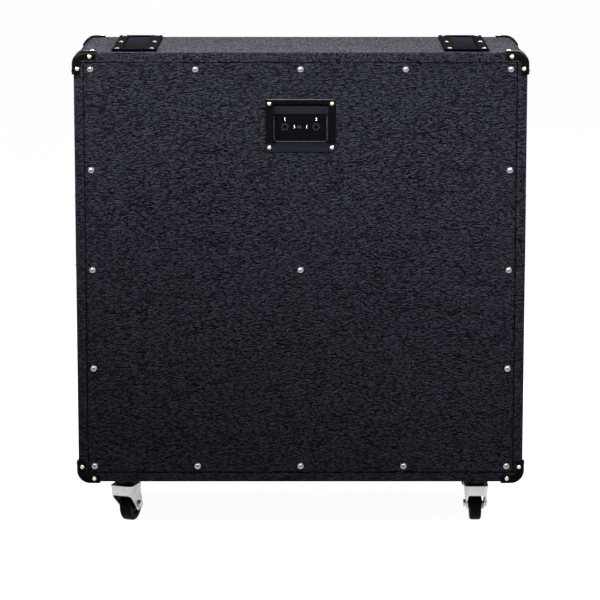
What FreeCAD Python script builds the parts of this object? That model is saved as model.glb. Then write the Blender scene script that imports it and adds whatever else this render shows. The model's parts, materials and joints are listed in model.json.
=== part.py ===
import FreeCAD, Part
import math
import os
import re
import Sketcher

# A closed-back guitar speaker cabinet for four twelve-inch speakers, standing on castors.
# X points to the right as seen from the rear, Y from the rear panel to the grille, Z up.
# The origin lies on the floor under the middle of the body, and every size is in millimetres.

Vector = FreeCAD.Vector
Placement = FreeCAD.Placement
Rotation = FreeCAD.Rotation
RIGHT = Vector(1, 0, 0)
FORWARD = Vector(0, 1, 0)
UP = Vector(0, 0, 1)

DIMENSIONS = {
    # Covered plywood body
    "body_width": 762,
    "body_height": 740,
    "body_depth": 360,
    "top_depth": 268,
    "ground_gap": 88,
    "knee_height": 370,
    "knee_radius": 40,
    "board": 16,
    "edge_radius": 20,
    "rim_radius": 3.5,
    "finger_count": 7,
    # Rear panel, its battens, cup washers and screws
    "panel_thick": 15,
    "panel_gap": 1.5,
    "panel_inset": 0.5,
    "panel_corner": 3,
    "panel_edge_round": 1.5,
    "panel_screw_inset": 10.5,
    "panel_screw_columns": 5,
    "panel_screw_rows": 5,
    "panel_screw_length": 30,
    "panel_screw_radius": 2.1,
    "panel_head_radius": 3.9,
    "panel_head_rise": 1.5,
    "washer_radius": 5.6,
    "washer_rise": 2.4,
    "washer_lip": 0.6,
    "batten_width": 28,
    "batten_thick": 20,
    "post_side": 40,
    # Baffles and grille cloth
    "front_recess": 20,
    "baffle_thick": 18,
    "baffle_gap": 1,
    "baffle_batten": 20,
    "cloth_thick": 1.2,
    "speaker_inset": 4.5,
    "speaker_margin": 19.7,
    # Twelve-inch speaker, measured from the front of its flange
    "flange_seat": 13.5,
    "flange_width": 16.5,
    "basket_sheet": 1.6,
    "skirt_depth": 12,
    "skirt_draft": 4,
    "waist_radius": 76,
    "waist_depth": 50,
    "basket_depth": 62,
    "basket_hole": 36,
    "window_count": 6,
    "window_foot": 18,
    "window_head": 12,
    "window_spoke": 22,
    "tab_inset": 34,
    "tab_length": 14,
    "tab_width": 16,
    "tab_top": 46,
    "bolt_inset": 6,
    "bolt_count": 8,
    "bolt_radius": 2.4,
    "bolt_length": 14,
    "bolt_head_radius": 4.5,
    "bolt_head_rise": 3,
    "top_plate_radius": 62,
    "top_plate_thick": 7,
    "magnet_radius": 78,
    "magnet_hole": 32,
    "magnet_thick": 20,
    "yoke_radius": 74,
    "yoke_thick": 8,
    "pole_radius": 21.5,
    "coil_radius": 22,
    "coil_wall": 0.7,
    "coil_gap": 0.5,
    "coil_overhang": 4,
    "cone_paper": 0.9,
    "cone_neck": 38,
    "cone_mouth_depth": 6,
    "cone_edge": 18,
    "roll_width": 12,
    "roll_rise": 3.5,
    "cap_radius": 36,
    "cap_rise": 14,
    "rim_clearance": 0.5,
    "cone_travel": 3,
    # Corner protectors
    "corner_wall": 3,
    "corner_leg": 37,
    "corner_width": 11,
    "corner_screw_along": 27,
    "corner_screw_side": 31.5,
    "corner_screw_in": 6.5,
    "small_screw_radius": 1.5,
    "small_screw_length": 14,
    "small_head_radius": 3.4,
    "small_head_rise": 1.6,
    "hole_clearance": 0.2,
    # Recessed jack plate
    "jack_plate_height": 617,
    "plate_width": 118,
    "plate_height": 90,
    "plate_flange": 3,
    "plate_corner": 5,
    "plate_bevel": 1.2,
    "plate_wall": 2.5,
    "plate_screw_x": 52.75,
    "plate_screw_y": 37.2,
    "mouth_width": 94,
    "mouth_height": 74,
    "dish_floor_width": 91,
    "dish_floor_height": 46,
    "dish_floor_drop": 7,
    "dish_depth": 20,
    "dish_corner": 4,
    "dish_clearance": 0.6,
    "jack_spacing": 53,
    "jack_drop": 4.5,
    "jack_bore": 3.3,
    "jack_bush": 4.7,
    "jack_nut_radius": 7,
    "jack_nut_thick": 2.4,
    "jack_collar": 3.4,
    "jack_body_radius": 9.5,
    "jack_body_length": 24,
    "jack_end_wall": 1.5,
    "switch_length": 24,
    "switch_width": 12,
    "switch_depth": 12,
    "slider_length": 6,
    "slider_width": 5,
    "slider_rise": 3.5,
    "slider_notch": 1,
    "slider_foot": 6,
    "slider_travel": 5,
    "slider_clearance": 0.3,
    # Trays on the top for an amplifier's feet
    "tray_side": 101,
    "tray_width": 76,
    "tray_length": 240,
    "tray_thick": 4.5,
    "tray_corner": 4,
    "tray_bevel": 1.5,
    "trough_width": 42,
    "trough_length": 214,
    "trough_depth": 2.5,
    "trough_corner": 8,
    "tray_screw_x": 29,
    "tray_screw_pitch": 108,
    # Recessed side handles
    "handle_height": 430,
    "handle_rim": 20,
    "handle_tall": 150,
    "handle_flange": 2.6,
    "handle_corner": 16,
    "handle_wall": 3,
    "grip_margin": 18,
    "grip_mouth": 84,
    "grip_lip": 5,
    "grip_pocket": 26,
    "grip_depth": 58,
    "grip_corner": 12,
    "handle_clearance": 0.5,
    "handle_screw_inset": 12,
    "handle_screw_y": 60,
    # Castors
    "castor_side": 76,
    "castor_inset": 60,
    "socket_plate": 62,
    "socket_sheet": 3,
    "socket_corner": 8,
    "socket_tube": 8,
    "socket_length": 30,
    "socket_screw": 23,
    "race_radius": 22,
    "race_foot": 14,
    "race_depth": 15,
    "race_curve": 18,
    "stem_radius": 5,
    "stem_length": 40,
    "stem_clearance": 0.05,
    "swivel_gap": 0.4,
    "fork_sheet": 2.2,
    "fork_top_half": 21,
    "fork_foot_half": 14.5,
    "fork_nose": 20,
    "fork_tail": 22,
    "fork_brow": 54,
    "fork_round": 8,
    "fork_ear": 11,
    "wheel_radius": 29,
    "wheel_width": 20,
    "wheel_shoulder": 4,
    "wheel_dish": 3,
    "hub_radius": 9,
    "hub_overhang": 2,
    "rim_inner": 19,
    "wheel_trail": 24,
    "axle_radius": 4,
    "axle_clearance": 0.05,
    "axle_head_radius": 6.5,
    "axle_head": 3.5,
    "turned_castor": 20,
    # Speaker leads
    "lead_radius": 1.6,
    "lead_bend": 22,
    "lead_gap": 0.3,
}

doc = FreeCAD.newDocument("speaker_cabinet")
sheet = doc.addObject("Spreadsheet::Sheet", "dims")
for row, (alias, size) in enumerate(DIMENSIONS.items(), start=1):
    sheet.set(f"A{row}", alias.replace("_", " "))
    sheet.set(f"B{row}", str(size))
    sheet.setAlias(f"B{row}", alias)
doc.recompute()

# Planes that many pieces share, as expressions of the sheet
REAR = "(-body_depth/2)"
FRONT = "(body_depth/2)"
BOTTOM = "ground_gap"
TOP = "(ground_gap + body_height)"
KNEE = "(ground_gap + knee_height)"
INSIDE = "(body_width/2 - board)"
PANEL_BACK = f"({REAR} + panel_inset + panel_thick)"
SLOPE = "((body_depth - top_depth)/(body_height - knee_height))"
STRETCH = f"sqrt(1 + {SLOPE}^2)"
HALF_LEAN = f"(({STRETCH} - 1)/{SLOPE})"
BAFFLE_BACK = "(front_recess + baffle_thick)"


def cells(text):
    """The expression with each dimension's name turned into its sheet cell."""
    return re.sub(r"[a-z_]+", lambda word: f"dims.{word[0]}" if word[0] in DIMENSIONS else word[0], text)


def value(text):
    """The number that an expression of the sheet comes to."""
    return float(sheet.evalExpression(cells(text)))


def spot(x, y, z):
    """A point whose coordinates are expressions of the sheet."""
    return Vector(value(x), value(y), value(z))


def bind(item, name, text):
    """Tie one property of a document object to the sheet."""
    item.setExpression(name, cells(text))


def place(item, x, y, z, rotation=Rotation()):
    """Put an object at a place that follows the sheet."""
    item.Placement = Placement(spot(x, y, z), rotation)
    for letter, text in zip("xyz", (x, y, z)):
        bind(item, f"Placement.Base.{letter}", text)


def facing(normal, upward=UP):
    """The turn that points a piece's own Z along normal and its own Y along upward."""
    return Rotation(upward.cross(normal), upward, normal, "ZYX")


# Part primitives and booleans


def box(name, sizes, corner, rotation=Rotation()):
    block = doc.addObject("Part::Box", name)
    for side, text in zip(("Length", "Width", "Height"), sizes):
        bind(block, side, text)
    place(block, *corner, rotation)
    return block


def cylinder(name, radius, height, base, rotation=Rotation()):
    rod = doc.addObject("Part::Cylinder", name)
    bind(rod, "Radius", radius)
    bind(rod, "Height", height)
    place(rod, *base, rotation)
    return rod


def fuse(name, members):
    joined = doc.addObject("Part::MultiFuse", name)
    joined.Shapes = members
    return joined


def cut(name, base, tools):
    trimmed = doc.addObject("Part::Cut", name)
    trimmed.Base = base
    trimmed.Tool = tools[0] if len(tools) == 1 else fuse(name + "_tools", tools)
    return trimmed


def common(name, members):
    kept = doc.addObject("Part::MultiCommon", name)
    kept.Shapes = members
    return kept


def compound(name, members):
    together = doc.addObject("Part::Compound", name)
    together.Links = members
    return together


def copies(name, master, places):
    """One group of separate solids: the master piece repeated at each place."""
    doc.recompute()
    solid = master.Shape.copy()
    group = doc.addObject("Part::Feature", name)
    group.Shape = Part.makeCompound([solid.transformed(where.toMatrix(), True) for where in places])
    return group


# PartDesign bodies and their sketches


def new_body(name):
    return doc.addObject("PartDesign::Body", name)


def new_sketch(body, name, plane, lift):
    drawing = body.newObject("Sketcher::SketchObject", name)
    planes = {feature.Role: feature for feature in body.Origin.OriginFeatures}
    drawing.AttachmentSupport = (planes[plane], [""])
    drawing.MapMode = "FlatFace"
    drawing.AttachmentOffset = Placement(Vector(0, 0, value(lift)), Rotation())
    bind(drawing, "AttachmentOffset.Base.z", lift)
    return drawing


def hold(drawing, kind, geometry, point, text):
    """Dimension one point of a sketch from its origin, tied to the sheet."""
    number = drawing.addConstraint(Sketcher.Constraint(kind, -1, 1, geometry, point, value(text)))
    bind(drawing, f"Constraints[{number}]", text)


def hold_radius(drawing, geometry, text):
    number = drawing.addConstraint(Sketcher.Constraint("Radius", geometry, value(text)))
    bind(drawing, f"Constraints[{number}]", text)


def arc_between(start, end, radius):
    """The short arc from start to end: a positive radius turns left, a negative one right."""
    if radius < 0:
        start, end = end, start
    chord = end - start
    across = Vector(-chord.y, chord.x, 0).normalize()
    centre = (start + end) / 2 + across * math.sqrt(max(radius ** 2 - chord.Length ** 2 / 4, 0))
    first = math.atan2(start.y - centre.y, start.x - centre.x)
    last = math.atan2(end.y - centre.y, end.x - centre.x)
    if last < first:
        last += 2 * math.pi
    return Part.ArcOfCircle(Part.Circle(centre, UP, abs(radius)), first, last)


def outline(body, name, plane, points, lift="0"):
    """A closed sketch. A point with a third value starts an arc of that radius, right-turning if negative."""
    drawing = new_sketch(body, name, plane, lift)
    spots = [spot(point[0], point[1], "0") for point in points]
    count = len(points)
    ends = []
    for index, point in enumerate(points):
        start, end = spots[index], spots[(index + 1) % count]
        radius = value(point[2]) if len(point) == 3 else 0
        run = arc_between(start, end, radius) if radius else Part.LineSegment(start, end)
        drawing.addGeometry(run, False)
        ends.append((2, 1) if radius < 0 else (1, 2))
    for index, point in enumerate(points):
        following = (index + 1) % count
        meeting = (index, ends[index][1], following, ends[following][0])
        drawing.addConstraint(Sketcher.Constraint("Coincident", *meeting))
        hold(drawing, "DistanceX", index, ends[index][0], point[0])
        hold(drawing, "DistanceY", index, ends[index][0], point[1])
        if len(point) == 3:
            hold_radius(drawing, index, f"abs({point[2]})")
    return drawing


def rounded_rectangle(body, name, plane, wide, tall, radius, lift="0", middle=("0", "0")):
    x, y = middle
    left, right = f"{x} - ({wide})/2", f"{x} + ({wide})/2"
    low, high = f"{y} - ({tall})/2", f"{y} + ({tall})/2"
    radius = f"({radius})"
    return outline(body, name, plane, [
        (f"{left} + {radius}", low),
        (f"{right} - {radius}", low, radius),
        (right, f"{low} + {radius}"),
        (right, f"{high} - {radius}", radius),
        (f"{right} - {radius}", high),
        (f"{left} + {radius}", high, radius),
        (left, f"{high} - {radius}"),
        (left, f"{low} + {radius}", radius),
    ], lift)


def circles(body, name, plane, rounds, lift="0"):
    """A sketch of circles, each given as x, y and radius."""
    drawing = new_sketch(body, name, plane, lift)
    for index, (x, y, radius) in enumerate(rounds):
        drawing.addGeometry(Part.Circle(spot(x, y, "0"), UP, value(radius)), False)
        hold(drawing, "DistanceX", index, 3, x)
        hold(drawing, "DistanceY", index, 3, y)
        hold_radius(drawing, index, radius)
    return drawing


def pad(body, name, drawing, length, reverse=False, symmetric=False):
    feature = body.newObject("PartDesign::Pad", name)
    feature.Profile = drawing
    bind(feature, "Length", length)
    feature.Reversed = reverse
    feature.SideType = "Symmetric" if symmetric else "One side"
    doc.recompute()
    return feature


def pocket(body, name, drawing, length, reverse=False, symmetric=False):
    before = body.Shape.Volume
    feature = body.newObject("PartDesign::Pocket", name)
    feature.Profile = drawing
    bind(feature, "Length", length)
    feature.Reversed = reverse
    feature.SideType = "Symmetric" if symmetric else "One side"
    doc.recompute()
    if body.Shape.Volume >= before:
        raise RuntimeError(f"{body.Name}: {name} cuts nothing")
    return feature


def revolve(body, name, drawing):
    feature = body.newObject("PartDesign::Revolution", name)
    feature.Profile = drawing
    feature.ReferenceAxis = (drawing, ["V_Axis"])
    doc.recompute()
    return feature


def turned(name, points):
    """A body turned about its own Z from a half section of radius and height."""
    body = new_body(name)
    revolve(body, name + "_turn", outline(body, name + "_section", "XZ_Plane", points))
    return body


def loft(body, name, kind, first, last):
    feature = body.newObject(f"PartDesign::{kind}Loft", name)
    feature.Profile = first
    feature.Sections = [last]
    feature.Ruled = True
    doc.recompute()
    return feature


def around(body, name, feature, count):
    """Repeat a feature evenly about the body's Z axis."""
    pattern = body.newObject("PartDesign::PolarPattern", name)
    pattern.Originals = [feature]
    axes = {item.Role: item for item in body.Origin.OriginFeatures}
    pattern.Axis = (axes["Z_Axis"], [""])
    pattern.Angle = 360
    bind(pattern, "Occurrences", count)
    body.Tip = pattern
    doc.recompute()
    return pattern


def soften(body, name, base, edges, radius, kind="Fillet"):
    feature = body.newObject(f"PartDesign::{kind}", name)
    feature.Base = (base, edges)
    bind(feature, "Radius" if kind == "Fillet" else "Size", radius)
    doc.recompute()
    return feature


def bounding_edges(shape, direction):
    """Names of the edges round the faces that look along a direction."""
    def looks_that_way(face):
        first_u, last_u, first_v, last_v = face.ParameterRange
        return face.normalAt((first_u + last_u) / 2, (first_v + last_v) / 2).dot(direction) > 0.7

    chosen = [face for face in shape.Faces if looks_that_way(face)]
    names = []
    for index, edge in enumerate(shape.Edges, start=1):
        touching = sum(any(edge.isSame(other) for other in face.Edges) for face in chosen)
        if touching == 1:
            names.append(f"Edge{index}")
    return names


def top_edges(shape):
    """Names of the edges that lie in the highest level plane of a shape."""
    height = shape.BoundBox.ZMax
    return [
        f"Edge{index}"
        for index, edge in enumerate(shape.Edges, start=1)
        if abs(edge.BoundBox.ZMin - height) < 1e-4
    ]


def dome(radius, rise):
    """The radius of the arc that rises over a disc."""
    return f"(({radius})^2 + ({rise})^2)/(2*({rise}))"


def screw(name, shank, length, head, rise):
    """A wood screw with a raised head, seated at its own Z zero and driven along minus Z."""
    return turned(name, [
        ("0", f"-{length}"),
        (shank, f"-{length} + 2*{shank}"),
        (shank, "0"),
        (head, "0", dome(head, rise)),
        ("0", rise),
    ])


nodes = {}


def node(label, item):
    """Name a finished sub-part."""
    item.Label = label
    nodes[label] = item
    return item


# Body boards


def envelope(name, grow):
    """The cabinet's rounded outer form, with every face moved out by grow."""
    body = new_body(name)
    front, rear = f"({FRONT} + {grow})", f"({REAR} - {grow})"
    bottom, top = f"({BOTTOM} - {grow})", f"({TOP} + {grow})"
    knee = f"({KNEE} + {grow}*{HALF_LEAN})"
    bend = f"((knee_radius + {grow})*{HALF_LEAN})"
    side = outline(body, name + "_side", "YZ_Plane", [
        (rear, bottom),
        (front, bottom),
        (front, f"{knee} - {bend}", f"knee_radius + {grow}"),
        (f"{front} - {bend}*{SLOPE}/{STRETCH}", f"{knee} + {bend}/{STRETCH}"),
        (f"{front} - ({top} - {knee})*{SLOPE}", top),
        (rear, top),
    ])
    block = pad(body, name + "_block", side, f"body_width + 2*{grow}", symmetric=True)
    long_edges = [
        f"Edge{index}"
        for index, edge in enumerate(block.Shape.Edges, start=1)
        if edge.BoundBox.XLength < 1e-4 and edge.BoundBox.ZLength < 1e-4
    ]
    sides = soften(body, name + "_long_edges", block, long_edges, f"edge_radius + {grow}")
    rims = bounding_edges(sides.Shape, FORWARD) + bounding_edges(sides.Shape, -FORWARD)
    soften(body, name + "_rims", sides, rims, f"rim_radius + {grow}")
    return body


outer_form = envelope("outer_form", "0")
SIDES = {"left": -1, "right": 1}
SIDE_CORNER = {"left": "(-body_width/2)", "right": INSIDE}


def finger_blocks(name, corner_x, corner_z, reach):
    """The fingers that a level board pushes into a side board, every second one of a row."""
    pitch = f"{reach}/finger_count"
    return [
        box(f"{name}_{index}", ("board", pitch, "board"), (corner_x, f"{REAR} + {index}*{pitch}", corner_z))
        for index in range(1, int(value("finger_count")), 2)
    ]


fingers = {
    (side, level): finger_blocks(f"{side}_{level}_finger", SIDE_CORNER[side], corner_z, reach)
    for side in SIDES
    for level, corner_z, reach in (("top", f"{TOP} - board", "top_depth"), ("bottom", BOTTOM, "body_depth"))
}

castor_spots = {
    f"{end}_{side}": (f"{sign}*(body_width/2 - castor_side)", depth)
    for side, sign in SIDES.items()
    for end, depth in (("rear", f"{REAR} + castor_inset"), ("front", f"{FRONT} - castor_inset"))
}


def level_board(label, level, corner_z):
    """The top or bottom board: a slab between the sides, with fingers into both of them."""
    slab = box(label + "_slab", (f"2*{INSIDE}", "body_depth", "board"), (f"-{INSIDE}", REAR, corner_z))
    joined = fuse(label + "_blank", [slab] + fingers["left", level] + fingers["right", level])
    return common(label + "_shaped", [joined, outer_form])


node("top_board", level_board("top_board", "top", f"{TOP} - board"))

socket_holes = [
    cylinder(f"{name}_socket_hole", "socket_tube", "3*board", (x, y, f"{BOTTOM} - board"))
    for name, (x, y) in castor_spots.items()
]
node("bottom_board", cut("bottom_board", level_board("bottom_blank", "bottom", BOTTOM), socket_holes))

# The handle's tub fills the depth between the rear and the front battens, less a margin at each end.
HANDLE_Z = f"({BOTTOM} + handle_height)"
TUB_TALL = "(grip_mouth + grip_pocket + 2*handle_wall)"
TUB_MIDDLE = "(grip_pocket/2)"
TUB_TOP = f"({HANDLE_Z} + {TUB_MIDDLE} + {TUB_TALL}/2)"
TUB_REAR = f"({PANEL_BACK} + batten_thick + grip_margin)"
TUB_FRONT = (
    f"({FRONT} - max(0; {TUB_TOP} - {KNEE})*{SLOPE}"
    f" - ({BAFFLE_BACK} + baffle_batten)*{STRETCH} - grip_margin)"
)
TUB_LENGTH = f"({TUB_FRONT} - {TUB_REAR})"
HANDLE_Y = f"(({TUB_REAR} + {TUB_FRONT})/2)"
HANDLE_LENGTH = f"({TUB_LENGTH} + 2*handle_rim)"


def side_board(label, side):
    """A side board with slots for the fingers and a window for the recessed handle."""
    slab = box(label + "_slab", ("board", "body_depth", "body_height"), (SIDE_CORNER[side], REAR, BOTTOM))
    shaped = common(label + "_shaped", [slab, outer_form])
    window = box(
        label + "_window",
        ("3*board", f"{TUB_LENGTH} + 2*handle_clearance", f"{TUB_TALL} + 2*handle_clearance"),
        (
            f"{SIDE_CORNER[side]} - board",
            f"{HANDLE_Y} - {TUB_LENGTH}/2 - handle_clearance",
            f"{HANDLE_Z} + {TUB_MIDDLE} - {TUB_TALL}/2 - handle_clearance",
        ),
    )
    return cut(label, shaped, [window] + fingers[side, "top"] + fingers[side, "bottom"])


for side in SIDES:
    node(f"{side}_side_board", side_board(f"{side}_side_board", side))

# Rear panel with its screws, and the battens that it is screwed to

PANEL_WIDTH = "(body_width - 2*board - 2*panel_gap)"
PANEL_HEIGHT = "(body_height - 2*board - 2*panel_gap)"
PANEL_MIDDLE = f"({BOTTOM} + body_height/2)"
PLATE_LIFT = "(jack_plate_height - body_height/2)"
DISH_WIDTH = "(mouth_width + 2*plate_wall)"
DISH_HEIGHT = "(mouth_height + 2*plate_wall)"
to_the_rear = facing(-FORWARD)


def panel_screw_spots():
    """Screws round the edge of the panel and one in its middle, from the panel's centre."""
    columns, rows = int(value("panel_screw_columns")), int(value("panel_screw_rows"))
    reach_x, reach_y = f"({PANEL_WIDTH}/2 - panel_screw_inset)", f"({PANEL_HEIGHT}/2 - panel_screw_inset)"
    found = [("0", "0")]
    for column in range(columns):
        for line in range(rows):
            if column in (0, columns - 1) or line in (0, rows - 1):
                x = f"{reach_x}*(2*{column}/(panel_screw_columns - 1) - 1)"
                y = f"{reach_y}*(2*{line}/(panel_screw_rows - 1) - 1)"
                found.append((x, y))
    return found


def rear_panel():
    body = new_body("rear_panel")
    face = rounded_rectangle(body, "panel_face", "XY_Plane", PANEL_WIDTH, PANEL_HEIGHT, "panel_corner")
    board = pad(body, "panel_board", face, "panel_thick", reverse=True)
    soften(body, "panel_edge", board, top_edges(board.Shape), "panel_edge_round")
    opening = rounded_rectangle(
        body, "panel_opening", "XY_Plane", f"{DISH_WIDTH} + 2*dish_clearance",
        f"{DISH_HEIGHT} + 2*dish_clearance", "dish_corner", middle=("0", PLATE_LIFT))
    pocket(body, "dish_opening", opening, "panel_thick")
    holes = [(x, y, "panel_screw_radius + hole_clearance") for x, y in panel_screw_spots()]
    pocket(body, "screw_holes", circles(body, "panel_holes", "XY_Plane", holes), "panel_thick")
    place(body, "0", f"{REAR} + panel_inset", PANEL_MIDDLE, to_the_rear)
    return body


node("rear_panel", rear_panel())
panel_frame = Placement(spot("0", f"{REAR} + panel_inset", PANEL_MIDDLE), to_the_rear)
panel_places = [panel_frame * Placement(spot(x, y, "0"), Rotation()) for x, y in panel_screw_spots()]

cup_washer = turned("cup_washer", [
    ("panel_screw_radius + hole_clearance", "0"),
    ("washer_radius", "0"),
    ("washer_radius", "washer_lip"),
    ("panel_head_radius + washer_lip", "washer_rise"),
    ("panel_head_radius", "washer_rise"),
    ("panel_screw_radius + hole_clearance", "washer_lip"),
])
node("panel_cup_washers", copies("panel_cup_washers", cup_washer, panel_places))

panel_screw = turned("panel_screw", [
    ("0", "-panel_screw_length"),
    ("panel_screw_radius", "-panel_screw_length + 2*panel_screw_radius"),
    ("panel_screw_radius", "washer_lip"),
    ("panel_screw_radius + hole_clearance", "washer_lip"),
    ("panel_head_radius", "washer_rise", dome("panel_head_radius", "panel_head_rise")),
    ("0", "washer_rise + panel_head_rise"),
])
node("panel_screws", copies("panel_screws", panel_screw, panel_places))


def rear_battens():
    """Four strips glued inside the boards, against the back of the rear panel."""
    depth, width = "batten_thick", "batten_width"
    level = (f"2*{INSIDE}", depth, width)
    upright = (width, depth, f"body_height - 2*board - 2*{width}")
    low, high = f"{BOTTOM} + board", f"{TOP} - board - {width}"
    return compound("rear_battens", [
        box("top_batten", level, (f"-{INSIDE}", PANEL_BACK, high)),
        box("bottom_batten", level, (f"-{INSIDE}", PANEL_BACK, low)),
        box("left_batten", upright, (f"-{INSIDE}", PANEL_BACK, f"{low} + {width}")),
        box("right_batten", upright, (f"{INSIDE} - {width}", PANEL_BACK, f"{low} + {width}")),
    ])


node("rear_battens", rear_battens())

# Baffles: the lower one upright, the upper one leaning back from the knee

lean = Rotation(RIGHT, math.degrees(math.atan(value(SLOPE))))
BAFFLE_FRAMES = {
    "lower": (("0", FRONT, BOTTOM), Rotation()),
    "upper": (("0", FRONT, KNEE), lean),
}


def strip_ends(row, depth):
    """Where a sheet behind the front face starts and ends, measured up the face."""
    if row == "lower":
        return "board + baffle_gap", f"knee_height - {depth}*{HALF_LEAN}"
    rise = "(body_height - knee_height - board - baffle_gap)"
    return f"{depth}*{HALF_LEAN}", f"{rise}*{STRETCH} + {depth}*{SLOPE}"


# A speaker sits in the middle of its baffle's height, and is as large as the smallest room allows.
BAFFLE_ENDS = {row: strip_ends(row, BAFFLE_BACK) for row in BAFFLE_FRAMES}
SPEAKER_HEIGHT = {row: f"(({low} + {high})/2)" for row, (low, high) in BAFFLE_ENDS.items()}
SPEAKER_SPREAD = f"({INSIDE}/2 - speaker_inset)"
ROOMS = [INSIDE] + [f"{high} - ({low})" for low, high in BAFFLE_ENDS.values()]
FLANGE = f"(min({'; '.join(ROOMS)})/2 - speaker_margin)"
SKIRT = f"({FLANGE} - flange_width)"
CONE = f"({SKIRT} - cone_edge)"
BOLT_CIRCLE = f"({FLANGE} - bolt_inset)"
TAB = f"({SKIRT} - tab_inset)"


def leaning_sheet(name, row, near, far, width):
    """A flat sheet between two depths behind the front face, mitred where the two rows meet."""
    body = new_body(name)
    (near_low, near_high), (far_low, far_high) = strip_ends(row, near), strip_ends(row, far)
    section = outline(body, name + "_section", "YZ_Plane", [
        (f"-{far}", far_low),
        (f"-{near}", near_low),
        (f"-{near}", near_high),
        (f"-{far}", far_high),
    ])
    pad(body, name + "_sheet", section, width, symmetric=True)
    return body


for row, (corner, tilt) in BAFFLE_FRAMES.items():
    clear_width = f"2*({INSIDE} - baffle_gap)"
    baffle = leaning_sheet(f"{row}_baffle", row, "front_recess", BAFFLE_BACK, clear_width)
    cutouts = circles(baffle, f"{row}_cutouts", "XZ_Plane", [
        (f"{sign}*{SPEAKER_SPREAD}", SPEAKER_HEIGHT[row], f"{FLANGE} - flange_seat")
        for sign in SIDES.values()
    ])
    pocket(baffle, f"{row}_openings", cutouts, f"4*{BAFFLE_BACK}", symmetric=True)
    place(baffle, *corner, tilt)
    node(f"{row}_baffle", baffle)
    cloth_front = "(front_recess - cloth_thick)"
    cloth = leaning_sheet(f"{row}_grille_cloth", row, cloth_front, "front_recess", clear_width)
    place(cloth, *corner, tilt)
    node(f"{row}_grille_cloth", cloth)


def baffle_battens():
    """Strips up both sides behind the baffles, which are screwed to them."""
    strips = []
    strip_back = f"({BAFFLE_BACK} + baffle_batten)"
    for row, (corner, tilt) in BAFFLE_FRAMES.items():
        strip = leaning_sheet(f"{row}_strip", row, BAFFLE_BACK, strip_back, "baffle_batten")
        for side, sign in SIDES.items():
            copy = compound(f"{row}_{side}_strip", [strip])
            place(copy, f"{sign}*({INSIDE} - baffle_batten/2)", corner[1], corner[2], tilt)
            strips.append(copy)
    return compound("baffle_battens", strips)


node("baffle_battens", baffle_battens())


def centre_post():
    """A square post from the middle of the rear panel to the backs of the baffles."""
    blank = box(
        "post_blank",
        ("post_side", f"{FRONT} - {PANEL_BACK}", "post_side"),
        ("-post_side/2", PANEL_BACK, f"{PANEL_MIDDLE} - post_side/2"),
    )
    ahead = []
    for row, (corner, tilt) in BAFFLE_FRAMES.items():
        space = leaning_sheet(f"{row}_space_ahead", row, "(-body_depth)", BAFFLE_BACK, "body_width")
        place(space, *corner, tilt)
        ahead.append(space)
    return cut("centre_post", blank, ahead)


node("centre_post", centre_post())

# Speakers, each turned about its own Z, which points from the baffle into the cabinet


def speaker_basket():
    """A pressed basket: flange, skirt, spokes between windows and a seat for the magnet."""
    sheet_metal = "basket_sheet"
    body = turned("basket", [
        ("basket_hole", "basket_depth"),
        ("waist_radius", "basket_depth"),
        ("waist_radius", "waist_depth"),
        (f"{SKIRT} - skirt_draft", "skirt_depth"),
        (SKIRT, "0"),
        (FLANGE, "0"),
        (FLANGE, sheet_metal),
        (f"{SKIRT} + {sheet_metal}", sheet_metal),
        (f"{SKIRT} - skirt_draft + {sheet_metal}", f"skirt_depth + {sheet_metal}"),
        (f"waist_radius + {sheet_metal}", f"waist_depth + {sheet_metal}"),
        (f"waist_radius + {sheet_metal}", f"basket_depth + {sheet_metal}"),
        ("basket_hole", f"basket_depth + {sheet_metal}"),
    ])
    inner, outer = "(waist_radius + window_foot)", f"({SKIRT} - window_head)"
    half_pitch = "(180/window_count)"
    inner_x, inner_y = f"{inner}*sin({half_pitch})", f"{inner}*cos({half_pitch})"
    outer_x, outer_y = f"{outer}*sin({half_pitch})", f"{outer}*cos({half_pitch})"
    window = outline(body, "basket_window", "XY_Plane", [
        (f"-({inner_x} - window_spoke/2)", inner_y),
        (f"{inner_x} - window_spoke/2", inner_y),
        (f"{outer_x} - window_spoke/2", outer_y, outer),
        (f"-({outer_x} - window_spoke/2)", outer_y),
    ])
    first = pocket(body, "first_window", window, "2*basket_depth", symmetric=True)
    around(body, "windows", first, "window_count")
    turn = "180/bolt_count"
    hole = circles(body, "flange_hole", "XY_Plane", [
        (f"{BOLT_CIRCLE}*cos({turn})", f"{BOLT_CIRCLE}*sin({turn})", "bolt_radius + hole_clearance"),
    ])
    first = pocket(body, "first_hole", hole, "4*basket_sheet", symmetric=True)
    around(body, "flange_holes", first, "bolt_count")
    tab = box("terminal_tab", ("tab_length", "tab_width", "tab_top - skirt_depth"),
              (TAB, "-tab_width/2", "skirt_depth"))
    inside = turned("basket_inside", [
        ("0", "0"),
        (SKIRT, "0"),
        (f"{SKIRT} - skirt_draft", "skirt_depth"),
        ("waist_radius", "waist_depth"),
        ("0", "waist_depth"),
    ])
    return fuse("basket_with_tab", [body, cut("seated_tab", tab, [inside])])


basket = speaker_basket()
SEAT = "(basket_depth + basket_sheet)"
PLATE_BACK = f"({SEAT} + top_plate_thick)"
RING_BACK = f"({PLATE_BACK} + magnet_thick)"
GAP_OUTER = "(coil_radius + coil_wall + coil_gap)"

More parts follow.
